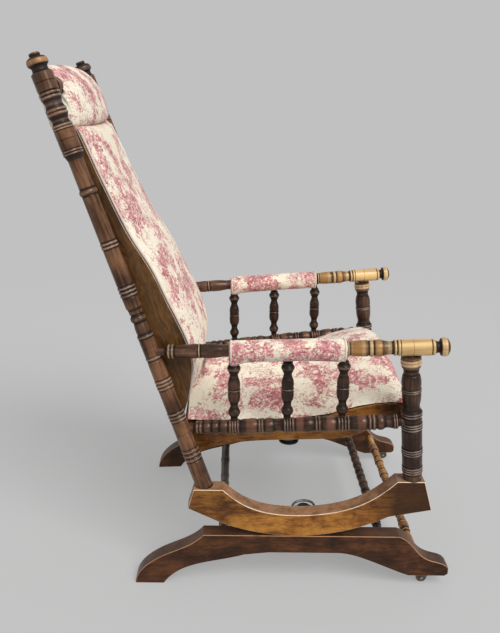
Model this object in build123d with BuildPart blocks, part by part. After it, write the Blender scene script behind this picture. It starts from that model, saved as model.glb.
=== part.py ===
from build123d import *
import math
import os

os.makedirs("parts", exist_ok=True)

# ---------------------------------------------------------------------------
# Upholstered platform rocker.  Millimetres, +Z up, the sitter faces -Y, and
# "right" is the sitter's right hand, which is -X.  The origin is on the floor
# under the middle of the chair's box.  Stations along Y in the tables below
# are counted from a datum on the base rail, YD behind the origin.
# ---------------------------------------------------------------------------
YD = -46.0                 # the datum of the Y stations, from the origin

# base and rockers: sawn 36 mm boards, splayed so that they open to the front
RAIL_T = 36.0              # thickness of the base rails and the rockers
RAIL_HW = 268.0            # half width to their outer faces at station 0
RAIL_SLOPE = -0.0365       # change of that half width per mm of Y
BASE_TOP = 119.0           # the flat track on which the rockers roll
ROLL_Y = -36.0             # station of the rolling centre
ROLL_Z = 523.0             # its height
ROLL_R = 403.7             # radius of the rocker's underside (0.3 clear of the track)
FOOT_Z = 25.0              # underside of the front foot, over the caster

# springs and casters
SPRING_X = 205.0
SPRING_Y = -58.0
SPRING_R = 23.0            # mean radius of the coil
WIRE_R = 2.6
SAUCER_R = 26.5            # round plate under each coil
BOSS_R = 18.0              # locates the coil from inside
STRAP_HW = 13.0            # half width of the strap over the coil
STRAP_X = SPRING_X + 12.0  # where its rounded end is centred, over the coil's outer half
SPRING_Z0 = 91.2
SPRING_Z1 = 153.0
SPRING_TURNS = 5.0
CASTER_Y = -318.0
CASTER_X = 262.0
TRAIL = 12.0               # the wheel's centre behind its swivel axis
WHEEL_R = 11.0
WHEEL_W = 8.0

# round tenons
T_POST = 9.5
T_ARM = 7.5
T_SPINDLE = 6.0
T_STRETCH = 8.0
CLR = 0.05                 # radial clearance round every glued tenon

SIDES = (("right", -1.0), ("left", 1.0))


def yy(station):
    return station + YD


def rail_hw(station):
    return RAIL_HW + RAIL_SLOPE * station


def plane_along(p0, p1):
    a = Vector(*p0)
    return Plane(origin=a, z_dir=(Vector(*p1) - a).normalized())


def turned(p0, p1, segs):
    # a lathe-turned piece: segs are (distance, radius, bulge) along p0 -> p1
    a = Vector(*p0)
    d = (Vector(*p1) - a).normalized()
    e = d.cross(Vector(0, 0, 1)) if abs(d.Z) < 0.9 else d.cross(Vector(1, 0, 0))
    e = e.normalized()
    with BuildSketch(Plane(origin=a, x_dir=e, z_dir=e.cross(d))) as section:
        with BuildLine():
            s, r = segs[0][0], segs[0][1]
            Line((0, s), (r, s))
            for s1, r1, bulge in segs[1:]:
                if abs(bulge) < 1e-6:
                    Line((r, s), (r1, s1))
                else:
                    ln = math.hypot(r1 - r, s1 - s)
                    nx, ny = (s1 - s) / ln, -(r1 - r) / ln
                    mid = ((r + r1) / 2 + nx * bulge, (s + s1) / 2 + ny * bulge)
                    ThreePointArc((r, s), mid, (r1, s1))
                s, r = s1, r1
            Line((r, s), (0, s))
            Line((0, s), (0, segs[0][0]))
        make_face()
    revolve(section.sketch, axis=Axis(a, d))


def rings(s0, s1, n, r_top, r_root):
    # n little beads between two stations of a turning
    w = (s1 - s0) / n
    out = [(s0, r_root, 0)]
    for i in range(n):
        out.append((s0 + (i + 1) * w, r_root, r_top - r_root))
    return out


def groove(s, r, depth=1.0, w=1.2):
    return [(s - w, r, 0), (s, r - depth, 0), (s + w, r, 0)]


def peg(p0, p1, radius, mode=Mode.ADD):
    # a round tenon, dowel or bore from p0 to p1
    ln = (Vector(*p1) - Vector(*p0)).length
    with BuildSketch(plane_along(p0, p1)) as disc:
        Circle(radius)
    extrude(disc.sketch, amount=ln, mode=mode)


def splayed_slab(outer, thick, s, y0, y1, z0, z1, mode=Mode.INTERSECT):
    # an upright board's space: outer(y) is its half width
    pts = [(s * outer(y0), yy(y0)), (s * outer(y1), yy(y1)),
           (s * (outer(y1) - thick), yy(y1)), (s * (outer(y0) - thick), yy(y0))]
    with BuildSketch(Plane.XY.offset(z0)) as strip:
        Polygon(*pts, align=None)
    extrude(strip.sketch, amount=z1 - z0, mode=mode)


# ------------------------------------------------------------ axes of the members

REAR_UNIT = 879.0          # the axis's own measure, its length from foot to head without HEAD_UP
HEAD_UP = 6.0              # the ringed head of the post sits this much up the shaft
REAR_LEN = REAR_UNIT + HEAD_UP


def rear_axis(s, dist):
    # point on a rear post's axis, dist from its foot
    t = dist / REAR_UNIT
    return (s * (243.0 - 53.0 * t), yy(147.0 + 284.0 * t), 218.0 + 832.0 * t)


def front_axis(s, z):
    t = (z - 244.0) / 269.0
    return (s * (260.0 + 11.0 * t), yy(-272.0 + 24.0 * t), z)


def arm_axis(s, y):
    return (s * (249.3 - 0.0887 * y), yy(y), 521.1 - 0.044 * y)


def seat_rail_axis(s, y):
    return (s * (247.2 - 0.087 * y), yy(y), 350.0 + (172.0 - y) * 27.0 / 411.0)


ARM_K = math.sqrt(1 + 0.0887 ** 2 + 0.044 ** 2)
RAIL_K = math.sqrt(1 + 0.087 ** 2 + (27.0 / 411.0) ** 2)
FRONT_K = math.sqrt(11.0 ** 2 + 24.0 ** 2 + 269.0 ** 2) / 269.0
SPINDLE_Y = (87.0, -17.0, -123.5)

# ============================================================ the standing base

for side, s in SIDES:
    with BuildPart() as base_rail:
        # side view of the sled-shaped rail, sawn to a splayed board
        with BuildSketch(Plane.YZ.offset(s * 300 if s < 0 else 200)):
            with BuildLine():
                Line((yy(298), 0), (yy(238), 0))
                Spline((yy(238), 0), (yy(201), 34), (yy(148), 53), (yy(102), 63), (yy(69), 72))
                Line((yy(69), 72), (yy(17), 78))
                Line((yy(17), 78), (yy(-123), 78))
                Spline((yy(-123), 78), (yy(-160), 72), (yy(-190), 61), (yy(-231), 43), (yy(-275), FOOT_Z))
                Line((yy(-275), FOOT_Z), (yy(-350), FOOT_Z))
                Line((yy(-350), FOOT_Z), (yy(-357), 30))
                Line((yy(-357), 30), (yy(-357), 44))
                Spline((yy(-357), 44), (yy(-347), 53), (yy(-322), 61), (yy(-300), 73), (yy(-280), 96), (yy(-251), BASE_TOP))
                Line((yy(-251), BASE_TOP), (yy(153), BASE_TOP))
                Spline((yy(153), BASE_TOP), (yy(173), 101), (yy(192), 90), (yy(231), 72), (yy(268), 49), (yy(288), 28), (yy(298), 5))
                Line((yy(298), 5), (yy(298), 0))
            make_face()
        extrude(amount=100)
        splayed_slab(rail_hw, RAIL_T, s, -360, 300, -1, 140)
        broad = base_rail.faces().sort_by(SortBy.AREA)[-2:]
        fillet(broad.edges(), 2.0)
        # sockets of the three cross stretchers and of the caster's stem
        for ys, zs in ((112.0, 92.0), (-217.0, 103.0), (-286.0, 74.0)):
            hw = rail_hw(ys) - RAIL_T
            peg((s * (hw - 3), yy(ys), zs), (s * (hw + 13), yy(ys), zs), T_STRETCH + CLR, Mode.SUBTRACT)
        peg((s * CASTER_X, yy(CASTER_Y), FOOT_Z - 1), (s * CASTER_X, yy(CASTER_Y), 52), 5.0 + CLR, Mode.SUBTRACT)
        # pilot holes for the spring bracket's screws
        for dy in (-14.0, 14.0):
            hw = rail_hw(SPRING_Y + dy) - RAIL_T
            peg((s * (hw - 2), yy(SPRING_Y + dy), 104), (s * (hw + 15), yy(SPRING_Y + dy), 104), 2.0 + CLR, Mode.SUBTRACT)
    base_rail.part.label = f"base_rail_{side}"
    export_step(base_rail.part, f"parts/base_rail_{side}.step")


def stretcher_ends(ys):
    return rail_hw(ys) - RAIL_T


def mirrored_segs(half, hw):
    # a turning drawn from its middle outwards, both ends alike
    right = [(hw + d, r, b) for d, r, b in half]
    left = []
    for i in range(len(half) - 1, 0, -1):
        d, r, b = half[i]
        pb = half[i + 1][2] if i + 1 < len(half) else 0
        left.append((hw - d, r, pb))
    left.append((hw - half[0][0], half[0][1], half[1][2]))
    return left + right[1:]


HW = stretcher_ends(112)
with BuildPart() as base_stretcher_rear:
    # plain shaft with three light rings near each quarter
    half = [(0, 9.6, 0), (14, 9.6, 0)] + rings(14, 20, 1, 10.6, 8.8) + [(21, 9.6, 0), (86, 10.2, 0)]
    half += rings(87, 105, 3, 11.0, 9.0) + [(106, 10.2, 0), (168, 9.8, 0)] + rings(169, 187, 3, 10.8, 8.8)
    half += [(188, 9.6, 0), (HW - 12, 9.2, 0), (HW - 0.3, 8.0, 0), (HW + 12, 8.0, 0)]
    turned((-HW, yy(112), 92), (HW, yy(112), 92), mirrored_segs(half, HW))
base_stretcher_rear.part.label = "base_stretcher_rear"
export_step(base_stretcher_rear.part, "parts/base_stretcher_rear.step")

HW = stretcher_ends(-217)
with BuildPart() as base_stretcher_middle:
    # bobbin turned: fat beads with narrow collars between
    half = [(0, 8.2, 0)]
    d = 0.0
    while d + 30 < HW - 12:
        half += [(d + 24, 8.2, 2.6), (d + 25, 7.6, 0), (d + 30, 7.6, 1.9)]
        half.append((d + 31, 8.2, 0))
        d += 31
    half += [(HW - 0.3, 8.0, 0), (HW + 12, 8.0, 0)]
    turned((-HW, yy(-217), 103), (HW, yy(-217), 103), mirrored_segs(half, HW))
base_stretcher_middle.part.label = "base_stretcher_middle"
export_step(base_stretcher_middle.part, "parts/base_stretcher_middle.step")

HW = stretcher_ends(-286)
with BuildPart() as base_stretcher_front:
    # vases in pairs either side of ringed collars
    half = [(0, 7.4, 0)] + rings(1, 10, 2, 10.2, 8.2) + [(11, 7.2, 0)]
    d = 11.0
    while d + 62 < HW - 6:
        half += [(d + 26, 8.8, 1.6), (d + 28, 10.4, 0)]
        half += rings(d + 29, d + 35, 1, 11.2, 8.4) + [(d + 36, 10.2, 0), (d + 54, 7.2, 1.8)]
        half += rings(d + 55, d + 61, 1, 9.8, 7.2) + [(d + 62, 7.2, 0)]
        d += 62
    half += [(HW - 2, 8.6, 0.8), (HW - 0.3, 8.0, 0), (HW + 12, 8.0, 0)]
    turned((-HW, yy(-286), 74), (HW, yy(-286), 74), mirrored_segs(half, HW))
base_stretcher_front.part.label = "base_stretcher_front"
export_step(base_stretcher_front.part, "parts/base_stretcher_front.step")

# ---------------------------------------------------- springs and their brackets

for side, s in SIDES:
    with BuildPart() as spring_bracket_lower:
        # bent iron plate: a cheek against the rail, a round saucer under the coil, a locating boss
        with BuildSketch(Plane.YZ.offset(0)):
            Polygon((yy(SPRING_Y - 24), 88), (yy(SPRING_Y + 24), 88), (yy(SPRING_Y + 24), 110), (yy(SPRING_Y + 18), 116),
                    (yy(SPRING_Y - 18), 116), (yy(SPRING_Y - 24), 110), align=None)
        extrude(amount=s * 300)
        splayed_slab(lambda y: rail_hw(y) - RAIL_T - 0.1, 3.0, s, SPRING_Y - 30, SPRING_Y + 30, 80, 120)
        with BuildSketch(Plane.XY.offset(88)):
            Polygon((s * (rail_hw(SPRING_Y) - RAIL_T - 1.4), yy(SPRING_Y - 22)), (s * (rail_hw(SPRING_Y) - RAIL_T - 1.4), yy(SPRING_Y + 22)),
                    (s * SPRING_X, yy(SPRING_Y + 22)), (s * SPRING_X, yy(SPRING_Y - 22)), align=None)
            with Locations((s * SPRING_X, yy(SPRING_Y))):
                Circle(SAUCER_R)
        extrude(amount=3.0)
        with BuildSketch(Plane.XY.offset(91)):
            with Locations((s * SPRING_X, yy(SPRING_Y))):
                Circle(BOSS_R)
        extrude(amount=4.0)
        for dy in (-14.0, 14.0):
            hw = rail_hw(SPRING_Y + dy) - RAIL_T
            peg((s * (hw - 6), yy(SPRING_Y + dy), 104), (s * (hw + 2), yy(SPRING_Y + dy), 104), 2.0 + CLR, Mode.SUBTRACT)
    spring_bracket_lower.part.label = f"spring_bracket_lower_{side}"
    export_step(spring_bracket_lower.part, f"parts/spring_bracket_lower_{side}.step")

    with BuildPart() as spring_bracket_upper:
        # the same cheek on the rocker, and a round-ended strap that bears on the coil
        with BuildSketch(Plane.YZ.offset(0)):
            Polygon((yy(SPRING_Y - 24), 156.3), (yy(SPRING_Y + 24), 156.3), (yy(SPRING_Y + 24), 134), (yy(SPRING_Y + 18), 128),
                    (yy(SPRING_Y - 18), 128), (yy(SPRING_Y - 24), 134), align=None)
        extrude(amount=s * 300)
        splayed_slab(lambda y: rail_hw(y) - RAIL_T - 0.1, 3.0, s, SPRING_Y - 30, SPRING_Y + 30, 120, 170)
        with BuildSketch(Plane.XY.offset(153.3)):
            Polygon((s * (rail_hw(SPRING_Y) - RAIL_T - 1.4), yy(SPRING_Y - STRAP_HW)), (s * (rail_hw(SPRING_Y) - RAIL_T - 1.4), yy(SPRING_Y + STRAP_HW)),
                    (s * STRAP_X, yy(SPRING_Y + STRAP_HW)), (s * STRAP_X, yy(SPRING_Y - STRAP_HW)), align=None)
            with Locations((s * STRAP_X, yy(SPRING_Y))):
                Circle(STRAP_HW)
        extrude(amount=3.0)
        for dy in (-14.0, 14.0):
            hw = rail_hw(SPRING_Y + dy) - RAIL_T
            peg((s * (hw - 6), yy(SPRING_Y + dy), 142), (s * (hw + 2), yy(SPRING_Y + dy), 142), 2.0 + CLR, Mode.SUBTRACT)
    spring_bracket_upper.part.label = f"spring_bracket_upper_{side}"
    export_step(spring_bracket_upper.part, f"parts/spring_bracket_upper_{side}.step")

    with BuildPart() as coil_wire:
        # a round-wire compression coil about its own axis; the pair are of opposite hand
        z_lo = SPRING_Z0 + WIRE_R
        z_hi = SPRING_Z1 - WIRE_R
        with BuildLine():
            Helix(pitch=(z_hi - z_lo) / SPRING_TURNS, height=z_hi - z_lo, radius=SPRING_R, lefthand=(s < 0))
        with BuildSketch(Plane(origin=(SPRING_R, 0, 0), z_dir=(0, 1, 0))):
            Circle(WIRE_R)
        sweep(is_frenet=True)
    with BuildPart() as coil_spring:
        # standing between the two shelves, its wire's ends towards the front
        with Locations(Location((s * SPRING_X, yy(SPRING_Y), z_lo), (0, 0, -90))):
            add(coil_wire.part)
    coil_spring.part.label = f"coil_spring_{side}"
    export_step(coil_spring.part, f"parts/coil_spring_{side}.step")

for which, zs in (("lower", 104.0), ("upper", 142.0)):
    with BuildPart() as bracket_screws:
        for side, s in SIDES:
            for dy in (-14.0, 14.0):
                face = rail_hw(SPRING_Y + dy) - RAIL_T - 3.2
                turned((s * (face - 2.4), yy(SPRING_Y + dy), zs), (s * (face + 20), yy(SPRING_Y + dy), zs),
                       [(0, 2.6, 0), (2.3, 4.3, 0.4), (2.3, 2.0, 0), (16, 2.0, 0), (17.5, 0.6, 0)])
    bracket_screws.part.label = f"bracket_screws_{which}"
    export_step(bracket_screws.part, f"parts/bracket_screws_{which}.step")

# ------------------------------------------------------------------- the casters

for side, s in SIDES:
    trail = TRAIL if side == "right" else -TRAIL
    cx, cy, wy = s * CASTER_X, yy(CASTER_Y), yy(CASTER_Y + trail)
    with BuildPart() as caster_socket:
        # brass-lined sleeve with a round flange under the foot
        turned((cx, cy, FOOT_Z - 1.3), (cx, cy, 60), [(0, 11.0, 0), (1.2, 11.5, 0), (1.2, 5.0, 0), (26, 5.0, 0)])
        peg((cx, cy, FOOT_Z - 3), (cx, cy, FOOT_Z + 22), 3.05, Mode.SUBTRACT)
    caster_socket.part.label = f"caster_socket_{side}"
    export_step(caster_socket.part, f"parts/caster_socket_{side}.step")

    with BuildPart() as caster_fork:
        # round crown, two cheeks that carry the axle, and the swivel stem
        peg((cx, cy, 21.8), (cx, cy, 23.3), 9.5)
        with BuildSketch(Plane.XY.offset(20.6)):
            with Locations((cx, cy + trail * 0.45)):
                Rectangle(2 * (WHEEL_W / 2 + 2.6), 20)
        extrude(amount=2.0)
        with BuildSketch(Plane.YZ.offset(cx - WHEEL_W / 2 - 2.6)):
            with BuildLine():
                sg = 1.0 if trail > 0 else -1.0
                Polyline((cy - sg * 4.6, 22.0), (wy - sg * 5.0, 8.5), (wy, 5.4), (wy + sg * 4.6, 8.5), (wy + sg * 3.4, 22.0), (cy - sg * 4.6, 22.0))
            make_face()
        extrude(amount=2 * (WHEEL_W / 2 + 2.6))
        # the wheel's slot between the cheeks
        with BuildSketch(Plane.YZ.offset(cx - WHEEL_W / 2 - 0.8)):
            with Locations((wy, WHEEL_R)):
                Rectangle(60, 2 * 11.35)
        extrude(amount=2 * (WHEEL_W / 2 + 0.8), mode=Mode.SUBTRACT)
        peg((cx, cy, 23.2), (cx, cy, FOOT_Z + 20), 3.0)
        peg((cx - 20, wy, WHEEL_R), (cx + 20, wy, WHEEL_R), 1.75 + CLR, Mode.SUBTRACT)
    caster_fork.part.label = f"caster_fork_{side}"
    export_step(caster_fork.part, f"parts/caster_fork_{side}.step")

    with BuildPart() as caster_axle:
        h = WHEEL_W / 2 + 2.6
        turned((cx - h - 1.2, wy, WHEEL_R), (cx + 20, wy, WHEEL_R),
               [(0, 1.6, 0), (1.1, 2.8, 0.3), (1.1, 1.75, 0), (2 * h + 1.3, 1.75, 0), (2 * h + 1.3, 2.8, 0), (2 * h + 2.4, 1.6, 0.3)])
    caster_axle.part.label = f"caster_axle_{side}"
    export_step(caster_axle.part, f"parts/caster_axle_{side}.step")

    with BuildPart() as caster_wheel:
        h = WHEEL_W / 2
        turned((cx - h, wy, WHEEL_R), (cx + h, wy, WHEEL_R),
               [(0, 4.0, 0), (0, 4.6, 0), (0.9, 5.2, 0), (0.9, 8.6, 0), (0.2, 9.2, 0), (0.4, 10.2, 0), (2.0, WHEEL_R, 0.2),
                (WHEEL_W - 2.0, WHEEL_R, 0), (WHEEL_W - 0.4, 10.2, 0.2), (WHEEL_W - 0.2, 9.2, 0), (WHEEL_W - 0.9, 8.6, 0),
                (WHEEL_W - 0.9, 5.2, 0), (WHEEL_W, 4.6, 0), (WHEEL_W, 4.0, 0)])
        peg((cx - 10, wy, WHEEL_R), (cx + 10, wy, WHEEL_R), 1.80, Mode.SUBTRACT)
    caster_wheel.part.label = f"caster_wheel_{side}"
    export_step(caster_wheel.part, f"parts/caster_wheel_{side}.step")

# ====================================================== the rocking chair itself

ROLL_END_R = 118.0         # station where the curved underside ends at the back
ROLL_END_F = -225.0        # and at the front


def roll_z(y):
    return ROLL_Z - math.sqrt(ROLL_R ** 2 - (y - ROLL_Y) ** 2)


FRONT_FLAT = 247.0
REAR_FLAT = 225.0
for side, s in SIDES:
    with BuildPart() as rocker:
        with BuildSketch(Plane.YZ.offset(s * 300 if s < 0 else 200)):
            with BuildLine():
                ThreePointArc((yy(ROLL_END_R), roll_z(ROLL_END_R)), (yy(ROLL_Y), roll_z(ROLL_Y)), (yy(ROLL_END_F), roll_z(ROLL_END_F)))
                Line((yy(ROLL_END_F), roll_z(ROLL_END_F)), (yy(-311), 183))
                Line((yy(-311), 183), (yy(-293.5), FRONT_FLAT))
                Line((yy(-293.5), FRONT_FLAT), (yy(-239), FRONT_FLAT))
                Spline((yy(-239), FRONT_FLAT), (yy(-220), 229), (yy(-183), 201.5), (yy(-145), 184), (yy(-94), 172), (yy(-30), 168),
                       (yy(17), 172.5), (yy(68), 191), (yy(98), 213), (yy(111), REAR_FLAT))
                Line((yy(111), REAR_FLAT), (yy(170), REAR_FLAT))
                Line((yy(170), REAR_FLAT), (yy(183), 182))
                Line((yy(183), 182), (yy(ROLL_END_R), roll_z(ROLL_END_R)))
            make_face()
        extrude(amount=100)
        splayed_slab(rail_hw, RAIL_T, s, -320, 200, 100, 260)
        broad = rocker.faces().sort_by(SortBy.AREA)[-2:]
        fillet(broad.edges(), 1.8)
        # mortises of the two posts
        peg(rear_axis(s, -20), rear_axis(s, 30), T_POST + CLR, Mode.SUBTRACT)
        peg(front_axis(s, 221), front_axis(s, 260), T_POST + CLR, Mode.SUBTRACT)
        for dy in (-14.0, 14.0):
            hw = rail_hw(SPRING_Y + dy) - RAIL_T
            peg((s * (hw - 2), yy(SPRING_Y + dy), 142), (s * (hw + 15), yy(SPRING_Y + dy), 142), 2.0 + CLR, Mode.SUBTRACT)
    rocker.part.label = f"rocker_{side}"
    export_step(rocker.part, f"parts/rocker_{side}.step")

# where the back's rails and dowels enter the rear posts
SEAT_REAR_Z = 323.0
HEAD_CORE_S = 825.0        # along the rear post
HEAD_CORE_R = 18.0
DOWEL_S = (250.0, 470.0, 670.0)
BACK_GAP = 19.9            # from the post's axis in to the side board's outer face
BACK_T = 14.0


def back_outer(z):
    return 243.0 - 53.0 * (z - 218.0) / 832.0 - BACK_GAP


def dowel_pts(s, dist):
    x, y, z = rear_axis(s, dist)
    return (x, y - 3.0, z)


for side, s in SIDES:
    with BuildPart() as rear_post:
        segs = [(0, 17, 0), (66, 17, 0)] + rings(68, 96, 3, 17.8, 15.8) + [(98, 16.8, 0)]
        segs += groove(129, 16.6, 1.2, 1.6) + [(156, 16.3, 0)] + rings(158, 180, 3, 17.2, 15.2)
        segs += [(182, 16.2, 0), (227, 15.9, 0)] + rings(229, 251, 3, 16.9, 14.9) + [(253, 15.9, 0)]
        segs += groove(287, 15.6, 1.0) + rings(293, 301, 1, 16.2, 14.4) + [(302, 15.4, 0)] + groove(320, 15.4, 0.9)
        segs += [(338, 15.4, 0)] + rings(339, 347, 1, 16.2, 14.2) + [(348, 13.6, 0), (373, 12.0, 1.2), (387, 12.2, 3.4)]
        segs += [(389, 11.6, 0), (391, 13.6, 0), (401, 13.9, -0.5), (404, 15.6, 0), (423, 15.8, 0)]
        segs += rings(425, 448, 3, 16.9, 14.9) + [(450, 15.9, 0), (520, 15.6, 0)] + rings(522, 536, 2, 16.8, 14.6)
        segs += [(538, 15.5, 0), (624, 15.0, 0)] + rings(626, 638, 1, 17.2, 14.4) + [(640, 14.6, 0), (693, 14.3, 0)]
        head = [(695, 16.8, 0)] + rings(696, 706, 2, 18.9, 17.2) + [(707, 18.6, 0)] + groove(725, 18.7, 1.0, 1.0)
        head += [(741, 18.8, 0)] + rings(742, 752, 2, 19.1, 17.3) + [(766, 17.4, -2.2)] + rings(767, 781, 2, 19.3, 17.4)
        head += [(796, 17.4, -1.6)] + rings(797, 811, 2, 19.4, 17.4) + [(812.5, 19.3, 0)] + groove(828, 19.4, 1.1, 1.0)
        head += [(843.5, 19.4, 0), (845.5, 16.8, 0), (851, 14.4, -0.8), (855.5, 15.6, -0.4), (857, 17.2, 0), (862, 19.5, 0.9),
                 (871.5, 11.6, 2.6), (873, 9.4, 0), (878, 9.8, 0.5), (879, 8.6, 0)]
        segs += [(ds + HEAD_UP, r, b) for ds, r, b in head]
        turned(rear_axis(s, 0), rear_axis(s, REAR_LEN), segs)
        # the foot is cut level with the rocker's flat, a tenon goes on into the wood
        split(bisect_by=Plane.XY.offset(REAR_FLAT + 0.1), keep=Keep.TOP)
        peg(rear_axis(s, -18), rear_axis(s, 14), T_POST)
        # mortises: arm rail, side seat rail, seat's rear rail, back dowels, head rail
        peg(arm_axis(s, 246), arm_axis(s, 224), T_ARM + CLR, Mode.SUBTRACT)
        peg(seat_rail_axis(s, 186), seat_rail_axis(s, 160), 7.0 + CLR, Mode.SUBTRACT)
        rx = rear_axis(s, (SEAT_REAR_Z - 218) * REAR_UNIT / 832)
        peg((rx[0] - s * 30, yy(179), SEAT_REAR_Z), (rx[0] + s * 4, yy(179), SEAT_REAR_Z), 8.0 + CLR, Mode.SUBTRACT)
        for ds in DOWEL_S:
            x, y, z = dowel_pts(s, ds)
            peg((x - s * 30, y, z), (x + s * 3, y, z), 4.0 + CLR, Mode.SUBTRACT)
        x, y, z = rear_axis(s, HEAD_CORE_S)
        peg((x - s * 30, y - 6, z), (x + s * 4, y - 6, z), 6.0 + CLR, Mode.SUBTRACT)
    rear_post.part.label = f"rear_post_{side}"
    export_step(rear_post.part, f"parts/rear_post_{side}.step")

    with BuildPart() as front_post:
        def fz(z):
            return (z - 244.0) * FRONT_K
        zr = [(244, 18.4, 0), (261, 19.3, 0)]
        segs = [(fz(z), r, b) for z, r, b in zr]
        segs += rings(fz(263), fz(279), 3, 20.6, 18.4) + [(fz(281), 19.8, 0), (fz(303), 20.0, 0)]
        segs += rings(fz(305), fz(320), 3, 20.9, 18.8) + [(fz(322), 20.0, 0), (fz(359), 20.0, 0)]
        segs += rings(fz(361), fz(377), 3, 20.9, 18.8) + [(fz(378.5), 20.0, 0), (fz(387.5), 19.4, 0)]
        segs += rings(fz(389), fz(400), 2, 20.9, 18.8) + [(fz(401.5), 18.4, 0), (fz(406), 16.6, -0.6), (fz(414), 15.8, -0.5)]
        segs += [(fz(440), 18.4, 1.2)] + rings(fz(441), fz(449), 2, 19.4, 18.0) + [(fz(450), 18.2, 0), (fz(476), 16.6, 1.6)]
        segs += [(fz(478), 15.2, 0), (fz(488), 15.2, -0.5), (fz(493), 18.0, -0.5), (fz(496.5), 18.4, 0)]
        segs += rings(fz(497.5), fz(510.5), 2, 19.9, 18.4) + [(fz(513), 19.0, 0), (fz(514.2), 17.5, 0)]
        turned(front_axis(s, 244), front_axis(s, 513), segs)
        split(bisect_by=Plane.XY.offset(FRONT_FLAT + 0.1), keep=Keep.TOP)
        peg(front_axis(s, 224), front_axis(s, 252), T_POST)
        peg(front_axis(s, 512), front_axis(s, 534), 8.0)
        peg(seat_rail_axis(s, -228), seat_rail_axis(s, -252), 9.0 + CLR, Mode.SUBTRACT)
        # mortise of the seat's front rail
        fx = front_axis(s, 380)
        peg((fx[0] - s * 30, yy(-250), 380), (fx[0] - s * 6.5, yy(-250), 380), 7.0 + CLR, Mode.SUBTRACT)
    front_post.part.label = f"front_post_{side}"
    export_step(front_post.part, f"parts/front_post_{side}.step")

    with BuildPart() as arm_rail:
        def fa(y):
            return (246.0 - y) * ARM_K
        segs = [(fa(244), T_ARM, 0), (fa(217), T_ARM, 0), (fa(216), 11.0, 0)] + rings(fa(215), fa(201), 2, 13.8, 11.8)
        segs += [(fa(200), 11.8, 0), (fa(172), 13.6, 0.5), (fa(158), 14.2, 0.3), (fa(156), 13.0, 0)] + rings(fa(155), fa(150), 1, 14.8, 12.8)
        segs += [(fa(149), 13.2, 0), (fa(135), 14.4, 0.4), (fa(112), 12.6, 0.4), (fa(104), 11.8, -0.3), (fa(102), 12.0, 0), (fa(-127), 12.0, 0)]
        segs += rings(fa(-128), fa(-132), 1, 15.2, 13.4) + [(fa(-133), 13.6, 0), (fa(-165), 15.6, 0.9), (fa(-167), 14.2, 0)]
        segs += rings(fa(-168), fa(-177), 1, 16.6, 14.2) + [(fa(-179), 15.2, 0), (fa(-194), 14.8, 1.7), (fa(-213), 12.8, -0.8)]
        segs += rings(fa(-214), fa(-220), 1, 15.6, 13.2) + rings(fa(-221), fa(-227), 1, 16.2, 13.8) + [(fa(-228), 16.0, 0)]
        segs += groove(fa(-250), 16.2, 0.9) + [(fa(-283), 16.2, 0)] + rings(fa(-284), fa(-291), 1, 15.8, 13.4)
        segs += [(fa(-292), 12.2, 0), (fa(-294), 11.2, 0), (fa(-299), 11.2, -0.4), (fa(-300), 14.2, 0), (fa(-305), 17.5, 1.2),
                 (fa(-316), 11.0, 3.2), (fa(-318), 9.5, 0)]
        turned(arm_axis(s, 246), arm_axis(s, -318), segs)
        # mortises for the front post, the three spindles, and the bore on the rocking axis
        peg(front_axis(s, 508), front_axis(s, 536), 8.0 + CLR, Mode.SUBTRACT)
        for ys in SPINDLE_Y:
            ax = arm_axis(s, ys)
            peg((ax[0], ax[1], ax[2] - 16), (ax[0], ax[1], ax[2] + 1), T_SPINDLE + CLR, Mode.SUBTRACT)
        ax = arm_axis(s, ROLL_Y)
        peg((ax[0] - 16, yy(ROLL_Y), ROLL_Z), (ax[0] + 16, yy(ROLL_Y), ROLL_Z), 2.0 + CLR, Mode.SUBTRACT)
    arm_rail.part.label = f"arm_rail_{side}"
    export_step(arm_rail.part, f"parts/arm_rail_{side}.step")

    with BuildPart() as side_seat_rail:
        def fr(y):
            return (186.0 - y) * RAIL_K
        segs = [(fr(185), 7.0, 0), (fr(165), 7.0, 0)] + rings(fr(164), fr(150), 2, 12.6, 10.8) + [(fr(149), 10.6, 0)]
        segs += [(fr(133), 11.2, 2.6), (fr(132), 10.4, 0), (fr(117.5), 11.4, 2.6), (fr(116.5), 10.6, 0), (fr(99), 12.0, 2.4)]
        segs += rings(fr(97), fr(76), 4, 14.8, 13.2) + [(fr(75), 12.6, 0), (fr(58), 14.4, 0.8), (fr(40), 12.8, 1.4)]
        segs += rings(fr(39), fr(28), 2, 14.8, 13.0) + [(fr(27), 12.6, 0), (fr(9), 13.0, 2.2), (fr(7), 12.0, 0), (fr(-9), 12.6, -0.8)]
        segs += rings(fr(-11), fr(-32), 4, 15.2, 13.6) + [(fr(-33.5), 12.8, 0), (fr(-52), 15.0, 0.8), (fr(-70), 12.8, 1.6)]
        segs += rings(fr(-72), fr(-84), 2, 15.0, 13.0) + [(fr(-85), 12.6, 0), (fr(-98), 15.0, 0.8), (fr(-113), 12.8, 1.0)]
        segs += rings(fr(-116), fr(-140), 4, 15.2, 13.6) + [(fr(-141.5), 12.8, 0), (fr(-158), 15.4, 0.8), (fr(-173), 13.2, 1.2)]
        segs += rings(fr(-174.5), fr(-190), 2, 15.6, 13.4) + [(fr(-191.5), 12.8, 0), (fr(-206), 12.8, 2.6), (fr(-208), 11.2, 0)]
        segs += [(fr(-222), 13.0, -0.6)] + rings(fr(-223), fr(-232), 2, 14.4, 12.4) + [(fr(-233), 10.4, 0), (fr(-237), 9.0, 0), (fr(-251), 9.0, 0)]
        turned(seat_rail_axis(s, 186), seat_rail_axis(s, -251), segs)
        for ys in SPINDLE_Y:
            ax = seat_rail_axis(s, ys)
            peg((ax[0], ax[1], ax[2] - 1), (ax[0], ax[1], ax[2] + 20), T_SPINDLE + CLR, Mode.SUBTRACT)
    side_seat_rail.part.label = f"side_seat_rail_{side}"
    export_step(side_seat_rail.part, f"parts/side_seat_rail_{side}.step")

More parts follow.
